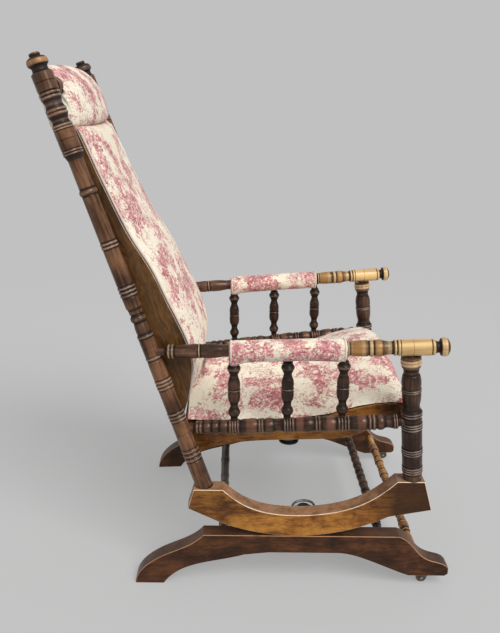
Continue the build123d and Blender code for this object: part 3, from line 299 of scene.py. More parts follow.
def sawn_wood(name, p0, p1, pal, worn_and_highlight_colour, wear_and_highlight=0.8, rough=0.42, seed=0.0, blotch=14.0, end_dark=0.0, end_len=0.10, bands=(), rim=None,
              rim_amount=0.0, face=(1.0, 0.0, 0.0), figure=30.0, clouds=None, smear=0.35):
    """Sawn board: figured grain along p0 -> p1, a thin pale line on its eased edges (rubbed wear with a painted
    highlight), and rim, the colour of its upward-facing edge faces (dust with painted top light).
    """
    dark, mid, light = pal
    t = Tree(name)
    rel, s, ln, q = base_coords(t, p0, p1, seed)
    warp = t.noise_vec(t.vec("ADD", rel, (seed, 0, seed)), 9.0, 2.0)
    q2 = t.vec("ADD", q, t.vec("SCALE", t.vec("SUBTRACT", warp, (0.5, 0.5, 0.5)), scale=0.05))
    fig = t.noise(q2, figure, 3.0, 0.6)
    grain = t.noise(q2, figure * 7.0, 3.0, 0.65)
    fine = t.noise(q, 640.0, 2.0, 0.6)
    patch = t.noise(t.vec("ADD", rel, (seed * 3, seed, 1)), blotch, 4.0, 0.62)
    tone = t.math("ADD", t.math("ADD", t.math("MULTIPLY", fig, 0.34), t.math("MULTIPLY", grain, 0.28)), t.math("MULTIPLY", patch, 0.38))
    col = t.ramp(t.step(tone, 0.36, 0.64), [(0.0, dark), (0.5, mid), (1.0, light)])
    col = t.mix(t.math("MULTIPLY", t.step(fine, 0.55, 0.72), 0.30), col, tuple(c * 0.5 for c in dark))
    if clouds is not None:
        cl = t.step(t.noise(t.vec("ADD", rel, (9, seed, 4)), 26.0, 4.0, 0.6), 0.50, 0.66)
        col = t.mix(t.math("MULTIPLY", cl, smear), col, clouds)
    col = banded(t, col, s, q, grain, bands)
    if end_dark > 0:
        e = t.math("ADD", t.math("MULTIPLY", t.step(s, 0.0, end_len, 1.0, 0.0), 1.9), t.math("MULTIPLY", t.step(s, ln - end_len, ln, 0.0, 1.0), 0.5))
        e = t.math("MULTIPLY", e, t.math("ADD", 0.55, t.math("MULTIPLY", patch, 0.8)), clamp=True)
        col = t.mix(t.math("MULTIPLY", e, end_dark), col, t.mix(grain, tuple(c * 0.32 for c in dark), tuple(c * 0.95 for c in dark)))
    gn = t.t.nodes.new("ShaderNodeNewGeometry")
    nrm = gn.outputs["True Normal"]
    k = t.math("ABSOLUTE", t.vec("DOT_PRODUCT", nrm, face))
    if rim is not None:
        # upward-facing edge faces are made lighter: partly dust, partly painted top light falling on them
        upward = t.step(t.node("ShaderNodeSeparateXYZ", {0: nrm}).outputs[2], 0.25, 0.6)
        side = t.step(k, 0.20, 0.45, 1.0, 0.0)
        dust_and_top_light_rim = t.mix(grain, tuple(c * 0.6 for c in rim), tuple(min(1.0, c * 1.2) for c in rim))
        keep = t.step(patch, 0.36, 0.58)
        col = t.mix(t.math("MULTIPLY", t.math("MULTIPLY", t.math("MULTIPLY", upward, side), t.math("ADD", t.math("MULTIPLY", keep, 0.6), 0.4)), rim_amount), col, dust_and_top_light_rim)
    # the eased edges are paled: partly rubbed wear, partly a painted highlight along each edge
    edge = t.math("MULTIPLY", t.step(k, 0.16, 0.34), t.step(k, 0.84, 0.96, 1.0, 0.0))
    wear_and_highlight_noise = t.step(t.noise(t.vec("ADD", rel, (5, seed, 2)), 30.0, 3.0, 0.6), 0.30, 0.52)
    col = t.mix(t.math("MULTIPLY", t.math("MULTIPLY", edge, t.math("ADD", t.math("MULTIPLY", wear_and_highlight_noise, 0.6), 0.4)), wear_and_highlight), col, worn_and_highlight_colour)
    r = t.math("ADD", rough, t.math("MULTIPLY", t.math("SUBTRACT", patch, 0.5), 0.25))
    t.set(Base_Color=col, Roughness=r)
    t.bsdf.inputs["Specular IOR Level"].default_value = 0.36
    t.bsdf.inputs["Specular Tint"].default_value = (1.0, 0.84, 0.70, 1.0)
    t.bsdf.inputs["Coat Weight"].default_value = 0.05
    t.bsdf.inputs["Coat Roughness"].default_value = 0.25
    h = t.math("ADD", t.math("MULTIPLY", fine, 0.5), t.math("MULTIPLY", grain, 0.5))
    t.set(Normal=t.bump(h, 0.16, 0.0006))
    return t.m


# colours are linear
DARK = ((0.013, 0.0058, 0.0036), (0.050, 0.023, 0.0145), (0.125, 0.060, 0.035))
DARKER = ((0.008, 0.0038, 0.0026), (0.030, 0.0135, 0.0085), (0.088, 0.039, 0.021))
POST = ((0.030, 0.012, 0.006), (0.118, 0.053, 0.026), (0.215, 0.104, 0.050))
BASE = ((0.013, 0.0038, 0.0014), (0.056, 0.0175, 0.0055), (0.118, 0.040, 0.012))
ROCK = ((0.048, 0.015, 0.004), (0.255, 0.092, 0.014), (0.46, 0.200, 0.036))
BOARD = ((0.030, 0.012, 0.004), (0.092, 0.040, 0.011), (0.170, 0.080, 0.022))
GOLD = (0.90, 0.56, 0.25)
PALE = (0.46, 0.38, 0.33)


def put(node, mat):
    ob = NODES[node]
    if not ob.material_slots:
        ob.data.materials.append(mat)
    for sl in ob.material_slots:
        sl.material = mat


def st(x, y, z):
    return (x, y + YD, z)


def rear_axis(s, dist):
    t = dist / 0.879
    return (s * (0.243 - 0.053 * t), 0.147 + 0.284 * t + YD, 0.218 + 0.832 * t)


def front_axis(s, z):
    t = (z - 0.244) / 0.269
    return (s * (0.260 + 0.011 * t), -0.272 + 0.024 * t + YD, z)


def arm_axis(s, y):
    return (s * (0.2493 - 0.0887 * y), y + YD, 0.5211 - 0.044 * y)


def rail_axis(s, y):
    return (s * (0.2472 - 0.087 * y), y + YD, 0.350 + (0.172 - y) * 27.0 / 411.0)


REDDISH = (0.20, 0.085, 0.05)
ARM = ((0.022, 0.010, 0.006), (0.085, 0.040, 0.025), (0.19, 0.095, 0.056))
for side, s in (("right", -1.0), ("left", 1.0)):
    k = 0.0 if s < 0 else 4.0
    cap = (0.42, 0.22, 0.10) if s < 0 else (0.05, 0.04, 0.04)
    put(f"rear_post_{side}", turned_wood(f"wood_rear_post_{side}", f"rear_post_{side}", rear_axis(s, 0), rear_axis(s, 0.885), POST, (0.50, 0.42, 0.36), wear_and_highlight=0.68, seed=1.3 + k,
                                         bands=[(0.864, 0.876, cap, 0.80), (0.849, 0.861, (0.075, 0.080, 0.092), 0.85), (0.338, 0.392, (0.030, 0.017, 0.012), 0.6),
                                                (0.818, 0.849, (0.125, 0.062, 0.036), 0.5), (0.759, 0.773, (0.11, 0.075, 0.065), 0.7), (0.787, 0.803, (0.11, 0.08, 0.075), 0.7)]))
    put(f"front_post_{side}", turned_wood(f"wood_front_post_{side}", f"front_post_{side}", front_axis(s, 0.244), front_axis(s, 0.513), DARK, PALE, wear_and_highlight=0.85, seed=2.1 + k,
                                          bands=[(0.252, 0.268, (0.74, 0.48, 0.23), 0.85)]))
    put(f"arm_rail_{side}", turned_wood(f"wood_arm_{side}", f"arm_rail_{side}", arm_axis(s, 0.246), arm_axis(s, -0.318), ARM, (0.66, 0.50, 0.30), wear_and_highlight=0.8, seed=3.7 + k,
                                        bands=[(0.378, 0.386, (0.58, 0.38, 0.16), 0.8), (0.386, 0.402, (0.44, 0.215, 0.065), 0.85), (0.402, 0.410, (0.56, 0.36, 0.15), 0.8), (0.415, 0.426, (0.62, 0.42, 0.19), 0.9),
                                               (0.427, 0.448, (0.50, 0.28, 0.10), 0.9), (0.450, 0.462, (0.60, 0.40, 0.18), 0.85),
                                               (0.463, 0.541, GOLD, 0.97), (0.5495, 0.572, (0.84, 0.56, 0.27), 0.97)]))
    put(f"side_seat_rail_{side}", turned_wood(f"wood_seat_rail_{side}", f"side_seat_rail_{side}", rail_axis(s, 0.186), rail_axis(s, -0.251), DARK, (0.38, 0.25, 0.19), wear_and_highlight=0.62, seed=5.2 + k,
                                              bands=[(0.125, 0.146, REDDISH, 0.55), (0.218, 0.237, REDDISH, 0.6), (0.283, 0.300, REDDISH, 0.6), (0.343, 0.360, REDDISH, 0.5)]))
    for i in (1, 2, 3):
        y = (0.087, -0.017, -0.1235)[i - 1]
        put(f"arm_spindle_{side}_{i}", turned_wood(f"wood_spindle_{side}_{i}", f"arm_spindle_{side}_{i}", rail_axis(s, y), arm_axis(s, y), DARKER, (0.36, 0.31, 0.28),
                                                   wear_and_highlight=0.6, seed=6.0 + i + k, rough=0.26))
    put(f"rocker_{side}", sawn_wood(f"wood_rocker_{side}", st(s * 0.25, -0.31, 0.18), st(s * 0.25, 0.185, 0.18), ROCK, (0.78, 0.60, 0.42), wear_and_highlight=1.0, seed=7.7 + k, blotch=22,
                                    end_dark=0.94, end_len=0.15, rim=(0.36, 0.21, 0.13), rim_amount=0.8, clouds=(0.10, 0.034, 0.008), smear=0.30))
    put(f"base_rail_{side}", sawn_wood(f"wood_base_{side}", st(s * 0.26, -0.36, 0.08), st(s * 0.25, 0.30, 0.08), BASE, (0.40, 0.20, 0.10), wear_and_highlight=0.95, seed=8.4 + k, blotch=16,
                                       rim=(0.10, 0.05, 0.028), rim_amount=0.5))
    put(f"seat_side_board_{side}", sawn_wood(f"wood_seat_board_{side}", st(s * 0.21, -0.24, 0.36), st(s * 0.21, 0.17, 0.33), ROCK, (0.40, 0.28, 0.18), wear_and_highlight=0.6, seed=9.1 + k,
                                             rough=0.4))
    put(f"back_side_board_{side}", sawn_wood(f"wood_back_board_{side}", rear_axis(s, 0.1), rear_axis(s, 0.8), BOARD, (0.50, 0.44, 0.38), wear_and_highlight=0.9, seed=10.3 + k, blotch=8,
                                             rough=0.36, clouds=(0.035, 0.014, 0.005), smear=0.5))

LIGHT_TURN = ((0.11, 0.040, 0.013), (0.34, 0.165, 0.055), (0.52, 0.29, 0.11))
put("base_stretcher_front", turned_wood("wood_stretcher_front", "base_stretcher_front", st(-0.262, -0.286, 0.074), st(0.262, -0.286, 0.074), LIGHT_TURN, (0.66, 0.47, 0.26),
                                        wear_and_highlight=0.7, seed=11))
put("base_stretcher_middle", turned_wood("wood_stretcher_middle", "base_stretcher_middle", st(-0.262, -0.217, 0.103), st(0.262, -0.217, 0.103), DARK, (0.40, 0.31, 0.25),
                                         wear_and_highlight=0.6, seed=12))
put("base_stretcher_rear", turned_wood("wood_stretcher_rear", "base_stretcher_rear", st(-0.25, 0.112, 0.092), st(0.25, 0.112, 0.092),
                                       ((0.02, 0.016, 0.014), (0.06, 0.048, 0.042), (0.12, 0.10, 0.09)), (0.50, 0.46, 0.42), wear_and_highlight=0.7, seed=13))
for n, p in (("seat_front_rail", (0, -0.25, 0.37)), ("seat_rear_rail", (0, 0.178, 0.32)), ("back_bottom_rail", (0, 0.2, 0.42)),
             ("back_middle_rail", (0, 0.29, 0.65)), ("back_top_rail", (0, 0.38, 0.9)), ("head_rail", (0, 0.40, 0.98))):
    q = st(*p)
    pal = DARK if n == "head_rail" else BOARD
    put(n, sawn_wood(f"wood_{n}", (q[0] - 0.25, q[1], q[2]), (q[0] + 0.25, q[1], q[2]), pal, (0.30, 0.18, 0.10), wear_and_highlight=0.3, seed=14.0 + len(n), face=(0.0, 1.0, 0.0)))
for n in ("seat_dowels", "back_dowels"):
    put(n, sawn_wood(f"wood_{n}", (-0.25, 0.1, 0.4), (0.25, 0.1, 0.4), BOARD, (0.30, 0.18, 0.10), wear_and_highlight=0.2, seed=20.0 + len(n)))


# ---------------------------------------------------------------- metal

def metal(name, colour, rough=0.42, rust=0.25, seed=0.0):
    t = Tree(name)
    a = t.noise(t.vec("ADD", t.co, (seed, 0, 0)), 90.0, 4.0, 0.6)
    b = t.noise(t.vec("ADD", t.co, (0, seed, 0)), 420.0, 3.0, 0.6)
    spots = t.step(a, 0.52, 0.66)
    col = t.mix(b, tuple(c * 0.6 for c in colour), tuple(min(1.0, c * 1.25) for c in colour))
    col = t.mix(t.math("MULTIPLY", spots, rust), col, (0.10, 0.045, 0.02))
    t.set(Base_Color=col, Roughness=t.math("ADD", rough, t.math("MULTIPLY", spots, 0.25)), Metallic=t.math("SUBTRACT", 0.95, t.math("MULTIPLY", spots, 0.5)))
    t.set(Normal=t.bump(b, 0.2, 0.0003))
    return t.m


IRON = metal("metal_iron", (0.085, 0.088, 0.095), 0.45, 0.3, 1.0)
STEEL = metal("metal_spring", (0.26, 0.275, 0.30), 0.36, 0.15, 2.0)
CAST = metal("metal_caster", (0.165, 0.132, 0.110), 0.26, 0.40, 3.0)
SCREW = metal("metal_screw", (0.40, 0.39, 0.37), 0.35, 0.2, 4.0)
for n in NODES:
    if n.startswith("spring_bracket"):
        put(n, IRON)
    elif n.startswith("coil_spring"):
        put(n, STEEL)
    elif n.startswith(("caster_socket", "caster_fork", "caster_wheel")):
        put(n, CAST)
    elif n.startswith(("bracket_screws", "caster_axle", "arm_pins")):
        put(n, SCREW)

# ---------------------------------------------------------------- cloth

CREAM = (0.86, 0.805, 0.645)
BERRY = (0.35, 0.036, 0.068)
PINK = (0.70, 0.33, 0.34)


def toile(name, seed=0.0, density=0.0, scale=1.0):
    """Cream cotton with a generic raspberry print: loose banks of leafy marks, thin sprigs and close engraved strokes."""
    t = Tree(name)
    p = t.vec("ADD", t.vec("SCALE", t.co, scale=scale), (seed, seed * 0.37, -seed * 0.61))
    w1 = t.vec("SCALE", t.vec("SUBTRACT", t.noise_vec(p, 24.0, 3.0), (0.5, 0.5, 0.5)), scale=0.045)
    pw = t.vec("ADD", p, w1)
    w2 = t.vec("SCALE", t.vec("SUBTRACT", t.noise_vec(p, 150.0, 2.0), (0.5, 0.5, 0.5)), scale=0.010)
    pl = t.vec("ADD", p, w2)
    bank = t.noise(t.vec("MULTIPLY", pw, (1.0, 1.0, 0.72)), 19.0, 4.0, 0.58)
    core = t.step(bank, 0.530 - density, 0.555 - density)
    halo = t.step(bank, 0.470 - density, 0.52 - density)
    # leaves: small rounded marks, close together in the banks and scattered about them
    leafy = t.node("ShaderNodeTexVoronoi", {"Vector": t.vec("MULTIPLY", pl, (1.0, 1.0, 0.80)), "Scale": 155.0, "Randomness": 1.0}, feature="F1").outputs["Distance"]
    leaf = t.step(leafy, 0.36, 0.43, 1.0, 0.0)
    small = t.step(leafy, 0.22, 0.28, 1.0, 0.0)
    cells = t.node("ShaderNodeTexVoronoi", {"Vector": pl, "Scale": 88.0, "Randomness": 1.0}, feature="DISTANCE_TO_EDGE").outputs["Distance"]
    outline = t.step(cells, 0.035, 0.085, 1.0, 0.0)
    # foliage strokes: stretched marks in two leanings
    a = t.noise(t.vec("MULTIPLY", pl, (1.0, 1.0, 0.34)), 230.0, 2.0, 0.55)
    b = t.noise(t.vec("MULTIPLY", pl, (0.34, 0.50, 1.0)), 215.0, 2.0, 0.55)
    lean = t.step(t.noise(pw, 38.0, 2.0, 0.5), 0.46, 0.54)
    stroke = t.math("ADD", t.math("MULTIPLY", a, lean), t.math("MULTIPLY", b, t.math("SUBTRACT", 1.0, lean)))
    dense = t.step(stroke, 0.515, 0.535)
    open_ = t.step(stroke, 0.560, 0.580)
    # sprigs and outlines: level lines of two smooth fields
    f = t.noise(pw, 30.0, 3.0, 0.55)
    stem = t.step(t.math("ABSOLUTE", t.math("SUBTRACT", f, 0.5)), 0.007, 0.016, 1.0, 0.0)
    f2 = t.noise(t.vec("ADD", pw, (3, 1, 2)), 58.0, 3.0, 0.6)
    twig = t.step(t.math("ABSOLUTE", t.math("SUBTRACT", f2, 0.5)), 0.012, 0.026, 1.0, 0.0)
    rule = t.node("ShaderNodeTexWave", {"Vector": pw, "Scale": 62.0, "Distortion": 4.0, "Detail": 3.0, "Detail Scale": 1.5},
                  wave_type="BANDS", bands_direction="DIAGONAL").outputs["Fac"]
    hatch = t.math("MULTIPLY", t.step(rule, 0.62, 0.80), t.step(t.noise(t.vec("ADD", pw, (7, 7, 7)), 22.0, 3.0, 0.55), 0.50, 0.55))
    in_core = t.math("MAXIMUM", t.math("MULTIPLY", dense, 0.95), t.math("MAXIMUM", t.math("MULTIPLY", outline, 0.75), t.math("MULTIPLY", leaf, 0.80)))
    ink = t.math("MULTIPLY", core, in_core)
    in_halo = t.math("MAXIMUM", t.math("MULTIPLY", open_, 0.9), t.math("MAXIMUM", t.math("MULTIPLY", twig, 0.8), t.math("MULTIPLY", small, 0.85)))
    ink = t.math("MAXIMUM", ink, t.math("MULTIPLY", halo, in_halo))
    loose = t.step(t.noise(t.vec("ADD", pw, (2, 8, 5)), 17.0, 2.0, 0.5), 0.46, 0.54)
    lines = t.math("MAXIMUM", t.math("MULTIPLY", stem, 0.80), t.math("MAXIMUM", t.math("MULTIPLY", hatch, 0.55), t.math("MULTIPLY", t.step(stroke, 0.60, 0.62), 0.75)))
    ink = t.math("MAXIMUM", ink, t.math("MULTIPLY", lines, t.math("ADD", 0.28, t.math("MULTIPLY", loose, 0.62))), clamp=True)
    # heavy shaded hearts in some of the banks
    heart = t.math("MULTIPLY", t.step(bank, 0.605 - density, 0.635 - density), t.step(t.noise(pw, 90.0, 3.0, 0.6), 0.48, 0.53))
    ink = t.math("MAXIMUM", ink, t.math("MULTIPLY", heart, 0.85), clamp=True)
    tint = t.noise(p, 7.0, 3.0, 0.6)
    ground = t.mix(t.step(tint, 0.35, 0.68), CREAM, (0.82, 0.75, 0.585))
    col = t.mix(t.math("MULTIPLY", core, 0.14), ground, PINK)
    inkc = t.mix(t.step(t.noise(p, 60.0, 3.0, 0.6), 0.40, 0.60), BERRY, (0.58, 0.165, 0.205))
    col = t.mix(t.math("MULTIPLY", ink, 0.98), col, t.mix(t.math("MULTIPLY", heart, 0.5), inkc, (0.22, 0.016, 0.040)))
    wx = t.node("ShaderNodeTexWave", {"Vector": t.co, "Scale": 420.0, "Distortion": 0.4}, wave_type="BANDS", bands_direction="X").outputs["Fac"]
    wz = t.node("ShaderNodeTexWave", {"Vector": t.co, "Scale": 420.0, "Distortion": 0.4}, wave_type="BANDS", bands_direction="Z").outputs["Fac"]
    weave = t.math("MULTIPLY", t.math("ADD", wx, wz), 0.5)
    # painted shade: the cloth is darkened a little where the weave's bump lies low, between the threads
    col = t.mix(t.math("MULTIPLY", t.step(weave, 0.0, 1.0, 1.0, 0.0), 0.10), col, (0.35, 0.25, 0.18))
    t.set(Base_Color=col, Roughness=0.88)
    t.bsdf.inputs["Sheen Weight"].default_value = 0.15
    t.bsdf.inputs["Sheen Roughness"].default_value = 0.5
    soft = t.noise(t.co, 45.0, 3.0, 0.55)
    b1 = t.bump(soft, 0.35, 0.003)
    t.set(Normal=t.bump(weave, 0.25, 0.0003, b1))
    return t.m


def plain_cloth(name, colour, rough=0.9, scale=500.0):
    t = Tree(name)
    n = t.noise(t.co, 40.0, 4.0, 0.6)
    wx = t.node("ShaderNodeTexWave", {"Vector": t.co, "Scale": scale, "Distortion": 0.5}, wave_type="BANDS", bands_direction="X").outputs["Fac"]
    wy = t.node("ShaderNodeTexWave", {"Vector": t.co, "Scale": scale, "Distortion": 0.5}, wave_type="BANDS", bands_direction="DIAGONAL").outputs["Fac"]
    w = t.math("MULTIPLY", t.math("ADD", wx, wy), 0.5)
    col = t.mix(n, tuple(c * 0.78 for c in colour), tuple(min(1.0, c * 1.08) for c in colour))
    col = t.mix(t.math("MULTIPLY", w, 0.22), col, tuple(c * 0.55 for c in colour))
    t.set(Base_Color=col, Roughness=rough)
    t.bsdf.inputs["Sheen Weight"].default_value = 0.2
    t.set(Normal=t.bump(w, 0.4, 0.0005))
    return t.m


TOILE = toile("cloth_toile", seed=0.6, density=0.012)
TOILE_B = toile("cloth_toile_back", seed=3.1, density=0.012)
TOILE_H = toile("cloth_toile_head", seed=6.4, density=0.038)
TOILE_A = toile("cloth_toile_arm", seed=8.2, density=0.05, scale=1.3)
PIPING = plain_cloth("cloth_piping", (0.74, 0.62, 0.54))
GIMP = plain_cloth("cloth_gimp", (0.74, 0.69, 0.55))
JUTE = plain_cloth("cloth_jute", (0.34, 0.24, 0.12), scale=260.0)
TOILE_O = toile("cloth_toile_outside", seed=9.3, density=0.01)


def link(ob):
    bpy.context.scene.collection.objects.link(ob)
    return ob


def smooth(ob):
    ob.data.polygons.foreach_set("use_smooth", [True] * len(ob.data.polygons))
    ob.data.update()


def set_verts(me, co):
    me.vertices.foreach_set("co", np.asarray(co, float).ravel())
    me.update()


def remeshed(node, name, voxel):
    """A new object with an even mesh over the shape of a CAD node."""
    me = NODES[node].data.copy()
    me.materials.clear()
    ob = link(bpy.data.objects.new(name, me))
    m = ob.modifiers.new("r", "REMESH")
    m.mode = "VOXEL"
    m.voxel_size = voxel
    dg = bpy.context.evaluated_depsgraph_get()
    new = bpy.data.meshes.new_from_object(ob.evaluated_get(dg))
    ob.modifiers.clear()
    ob.data = new
    bpy.data.meshes.remove(me)
    new.materials.clear()
    return ob


def relax(me, rounds, weight, keep=None):
    """Laplacian smoothing; keep is a mask of vertices that stay."""
    co = verts(me)
    e = np.zeros(len(me.edges) * 2, int)
    me.edges.foreach_get("vertices", e)
    e = e.reshape(-1, 2)
    deg = np.bincount(e.ravel(), minlength=len(co))[:, None]
    for _ in range(rounds):
        acc = np.zeros_like(co)
        np.add.at(acc, e[:, 0], co[e[:, 1]])
        np.add.at(acc, e[:, 1], co[e[:, 0]])
        new = co + weight * (acc / np.maximum(deg, 1) - co)
        if keep is not None:
            new[keep] = co[keep]
        co = new
    set_verts(me, co)


def puff(ob, pin, pressure=4.0, cap=0.010, frames=16, tension=15.0):
    """Blows the mesh up a little with Blender's cloth, then bakes the result. pin: weight 0-1 per vertex."""
    me = ob.data
    before = verts(me)
    g = ob.vertex_groups.new(name="pin")
    for w in np.unique(np.round(pin, 2)):
        idx = np.nonzero(np.round(pin, 2) == w)[0]
        if w > 0:
            g.add([int(i) for i in idx], float(w), "REPLACE")
    m = ob.modifiers.new("cloth", "CLOTH")
    c = m.settings
    c.quality = 5
    c.mass = 0.25
    c.vertex_group_mass = "pin"
    c.pin_stiffness = 1.0
    c.use_pressure = True
    c.uniform_pressure_force = pressure
    c.tension_stiffness = c.compression_stiffness = tension
    c.shear_stiffness = 5.0
    c.bending_stiffness = 0.5
    c.effector_weights.gravity = 0.0
    m.collision_settings.use_collision = False
    m.point_cache.frame_start = 1
    m.point_cache.frame_end = frames + 1
    sc = bpy.context.scene
    for f in range(1, frames + 1):
        sc.frame_set(f)
    dg = bpy.context.evaluated_depsgraph_get()
    ev = ob.evaluated_get(dg).data
    after = verts(ev)
    ob.modifiers.clear()
    ob.vertex_groups.clear()
    sc.frame_set(1)
    d = after - before
    ln = np.linalg.norm(d, axis=1)
    k = np.where(ln > 1e-9, np.tanh(ln / cap) * cap / np.maximum(ln, 1e-9), 0)
    set_verts(me, before + d * k[:, None])


def shown(ob, mat, body, sub=1):
    ob.data.materials.append(mat)
    smooth(ob)
    if sub:
        m = ob.modifiers.new("s", "SUBSURF")
        m.levels = sub
        m.render_levels = sub
    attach(ob, body)


RF = "rocking_frame"


def closed_shell(name, outer, inner):
    """One closed mesh from two grids of points of the same size: the outer skin and what lies under it."""
    nu, nv = outer.shape[:2]
    pts = np.concatenate([outer.reshape(-1, 3), inner.reshape(-1, 3)])
    off = nu * nv
    idx = np.arange(off).reshape(nu, nv)
    faces = []
    a, b, c, d = idx[:-1, :-1], idx[1:, :-1], idx[1:, 1:], idx[:-1, 1:]
    q = np.stack([a, b, c, d], -1).reshape(-1, 4)
    faces.extend(q.tolist())
    faces.extend((q[:, ::-1] + off).tolist())
    rim = list(idx[:, 0]) + list(idx[-1, 1:]) + list(idx[-2::-1, -1]) + list(idx[0, -2:0:-1])
    for i in range(len(rim)):
        m, n = int(rim[i]), int(rim[(i + 1) % len(rim)])
        faces.append([n, m, m + off, n + off])
    me = bpy.data.meshes.new(name)
    me.from_pydata(pts.tolist(), [], faces)
    bm = bmesh.new()
    bm.from_mesh(me)
    bmesh.ops.recalc_face_normals(bm, faces=bm.faces)
    bm.to_mesh(me)
    bm.free()
    me.update()
    return link(bpy.data.objects.new(name, me)), off


def ring_tube(name, path, radius, sides=10, closed=False):
    """A round cord sewn along a line of points."""
    path = [Vector(q) for q in path]
    n = len(path)
    bm = bmesh.new()
    rings_ = []
    up = None
    for i, q in enumerate(path):
        d = (path[min(i + 1, n - 1)] - path[max(i - 1, 0)]).normalized()
        if up is None:
            up = d.orthogonal().normalized()
        up = (up - d * up.dot(d)).normalized()
        w = d.cross(up)
        rings_.append([bm.verts.new(q + (up * math.cos(a) + w * math.sin(a)) * radius) for a in [2 * math.pi * k / sides for k in range(sides)]])
    for r0, r1 in zip(rings_[:-1], rings_[1:]):
        for k in range(sides):
            bm.faces.new((r0[k], r0[(k + 1) % sides], r1[(k + 1) % sides], r1[k]))
    bm.faces.new(rings_[0][::-1])
    bm.faces.new(rings_[-1])
    bmesh.ops.recalc_face_normals(bm, faces=bm.faces)
    me = bpy.data.meshes.new(name)
    bm.to_mesh(me)
    bm.free()
    return link(bpy.data.objects.new(name, me))


def fold(u, v, cu, cv, angle, length, width, amp):
    """Height of one soft pulled fold at (cu, cv) running along angle."""
    du, dv = u - cu, v - cv
    a = du * math.cos(angle) + dv * math.sin(angle)
    b = -du * math.sin(angle) + dv * math.cos(angle)
    return amp * np.exp(-(b / width) ** 2) * np.clip(1 - np.abs(a / length - 0.5) * 2, 0, 1) ** 0.7


# ---- seat: a stuffed dome over the frame, drawn down over the front rail, tucked under the back
ST = [-0.245, -0.195, -0.162, -0.134, -0.105, -0.052, 0.039, 0.156]
ZE = [0.4020, 0.3958, 0.3890, 0.3800, 0.3700, 0.3600, 0.3520, 0.3480]
HS = [-0.262, -0.225, -0.19, -0.165, -0.134, -0.10, -0.06, 0.04, 0.156]
HH = [0.046, 0.052, 0.054, 0.053, 0.050, 0.050, 0.054, 0.062, 0.068]
HE = [1.10, 1.10, 1.20, 1.30, 1.40, 1.40, 1.30, 1.20, 1.20]
nu, nv = 91, 112
f = np.linspace(-1, 1, nu)[:, None] * np.ones((1, nv))
f = np.sign(f) * (1 - (1 - np.abs(f)) ** 1.12)
v = np.linspace(0, 1, nv)[None, :] * np.ones((nu, 1))
TAIL, TOP, NOSE = 0.10, 0.78, 0.92
y = np.where(v < TAIL, 0.183 - (v / TAIL) * (0.183 - 0.157),
             np.where(v < TOP, 0.157 - (v - TAIL) / (TOP - TAIL) * (0.157 + 0.232), 0.0))
hw = 0.209 - 0.087 * np.where(v < TOP, y, -0.24) - 0.0008
ze = np.interp(-y, [-q for q in ST[::-1]], ZE[::-1])
hh = np.interp(-y, [-q for q in HS[::-1]], HH[::-1])
ee = np.interp(-y, [-q for q in HS[::-1]], HE[::-1])
z = ze + 0.0008 + hh * np.clip(1 - f ** 2, 0, 1) ** ee
tail = np.clip(v / TAIL, 0, 1)
z = np.where(v < TAIL, np.minimum(z, 0.3965 - 0.004 * (1 - tail)), z)
# nose and lip
w = np.clip((v - TOP) / (NOSE - TOP), 0, 1)
z0 = np.interp(0.232, -np.array(ST[::-1]), ZE[::-1]) + 0.0008 + np.interp(0.232, -np.array(HS[::-1]), HH[::-1]) * np.clip(1 - f ** 2, 0, 1) ** 1.10
p0y, p1y, p2y, p3y = -0.232, -0.2515, -0.2615 - 0.0035 * (1 - f ** 2), -0.2610 - 0.0035 * (1 - f ** 2)
p0z, p1z, p2z, p3z = z0, z0 - 0.003, 0.402 + (z0 - 0.402) * 0.55, 0.3965 + 0.0 * f
by = (1 - w) ** 3 * p0y + 3 * w * (1 - w) ** 2 * p1y + 3 * w ** 2 * (1 - w) * p2y + w ** 3 * p3y
bz = (1 - w) ** 3 * p0z + 3 * w * (1 - w) ** 2 * p1z + 3 * w ** 2 * (1 - w) * p2z + w ** 3 * p3z
g = np.clip((v - NOSE) / (1 - NOSE), 0, 1)
y = np.where(v >= TOP, np.where(v < NOSE, by, p3y + 0.0012 * g), y)
z = np.where(v >= TOP, np.where(v < NOSE, bz, 0.3965 - 0.0315 * g), z)
x = f * hw
# soft lumps of the stuffing and folds pulled to the rear corners
lump = np.zeros_like(x)
for i in range(nu):
    for j in range(nv):
        lump[i, j] = mnoise.noise(Vector((x[i, j] * 13.0, y[i, j] * 13.0, 1.7))) * 0.0035 + mnoise.noise(Vector((x[i, j] * 34.0, y[i, j] * 34.0, 4.1))) * 0.0011
inside = np.clip((1 - np.abs(f)) * 6, 0, 1) * np.clip((v - TAIL * 0.6) * 12, 0, 1) * np.clip((NOSE - v) * 10, 0, 1)
z = z + lump * inside
for sx in (-1.0, 1.0):
    for cu, cv, ang, ln, wd, am in ((0.188, 0.140, -2.20, 0.10, 0.0055, 0.0028), (0.182, 0.118, -2.55, 0.085, 0.005, 0.0020), (0.165, 0.150, -1.95, 0.085, 0.005, 0.0022),
                                    (0.212, -0.205, 2.3, 0.075, 0.006, 0.0018), (0.200, -0.222, 2.0, 0.06, 0.005, 0.0016)):
        z = z + fold(x * sx, y, cu, cv, ang, ln, wd, am) * inside
outer = np.stack([x, y + YD, z], -1)
iz = np.where(v < TOP, np.where(v < TAIL, 0.3475, ze - 0.0001), 0.4020)
iy = np.where(v < TOP, y, np.maximum(y + 0.0016, -0.2596))
iz = np.where(v >= NOSE, np.minimum(z, 0.4020), iz)
iz = np.where((v >= TOP) & (v < NOSE), np.minimum(0.4020, z - 0.0016), iz)
inner = np.stack([f * (hw - 0.0004), iy + YD, iz], -1)
seat, off = closed_shell("seat_cover", outer, inner)
pin = np.ones(len(seat.data.vertices))
free = np.clip((1 - np.abs(f)) * 7, 0, 1) * np.clip((v - TAIL) * 14, 0, 1) * np.clip((NOSE - 0.01 - v) * 14, 0, 1)
pin[:off] = 1 - free.ravel()
puff(seat, pin, 4.0, 0.006, frames=14)
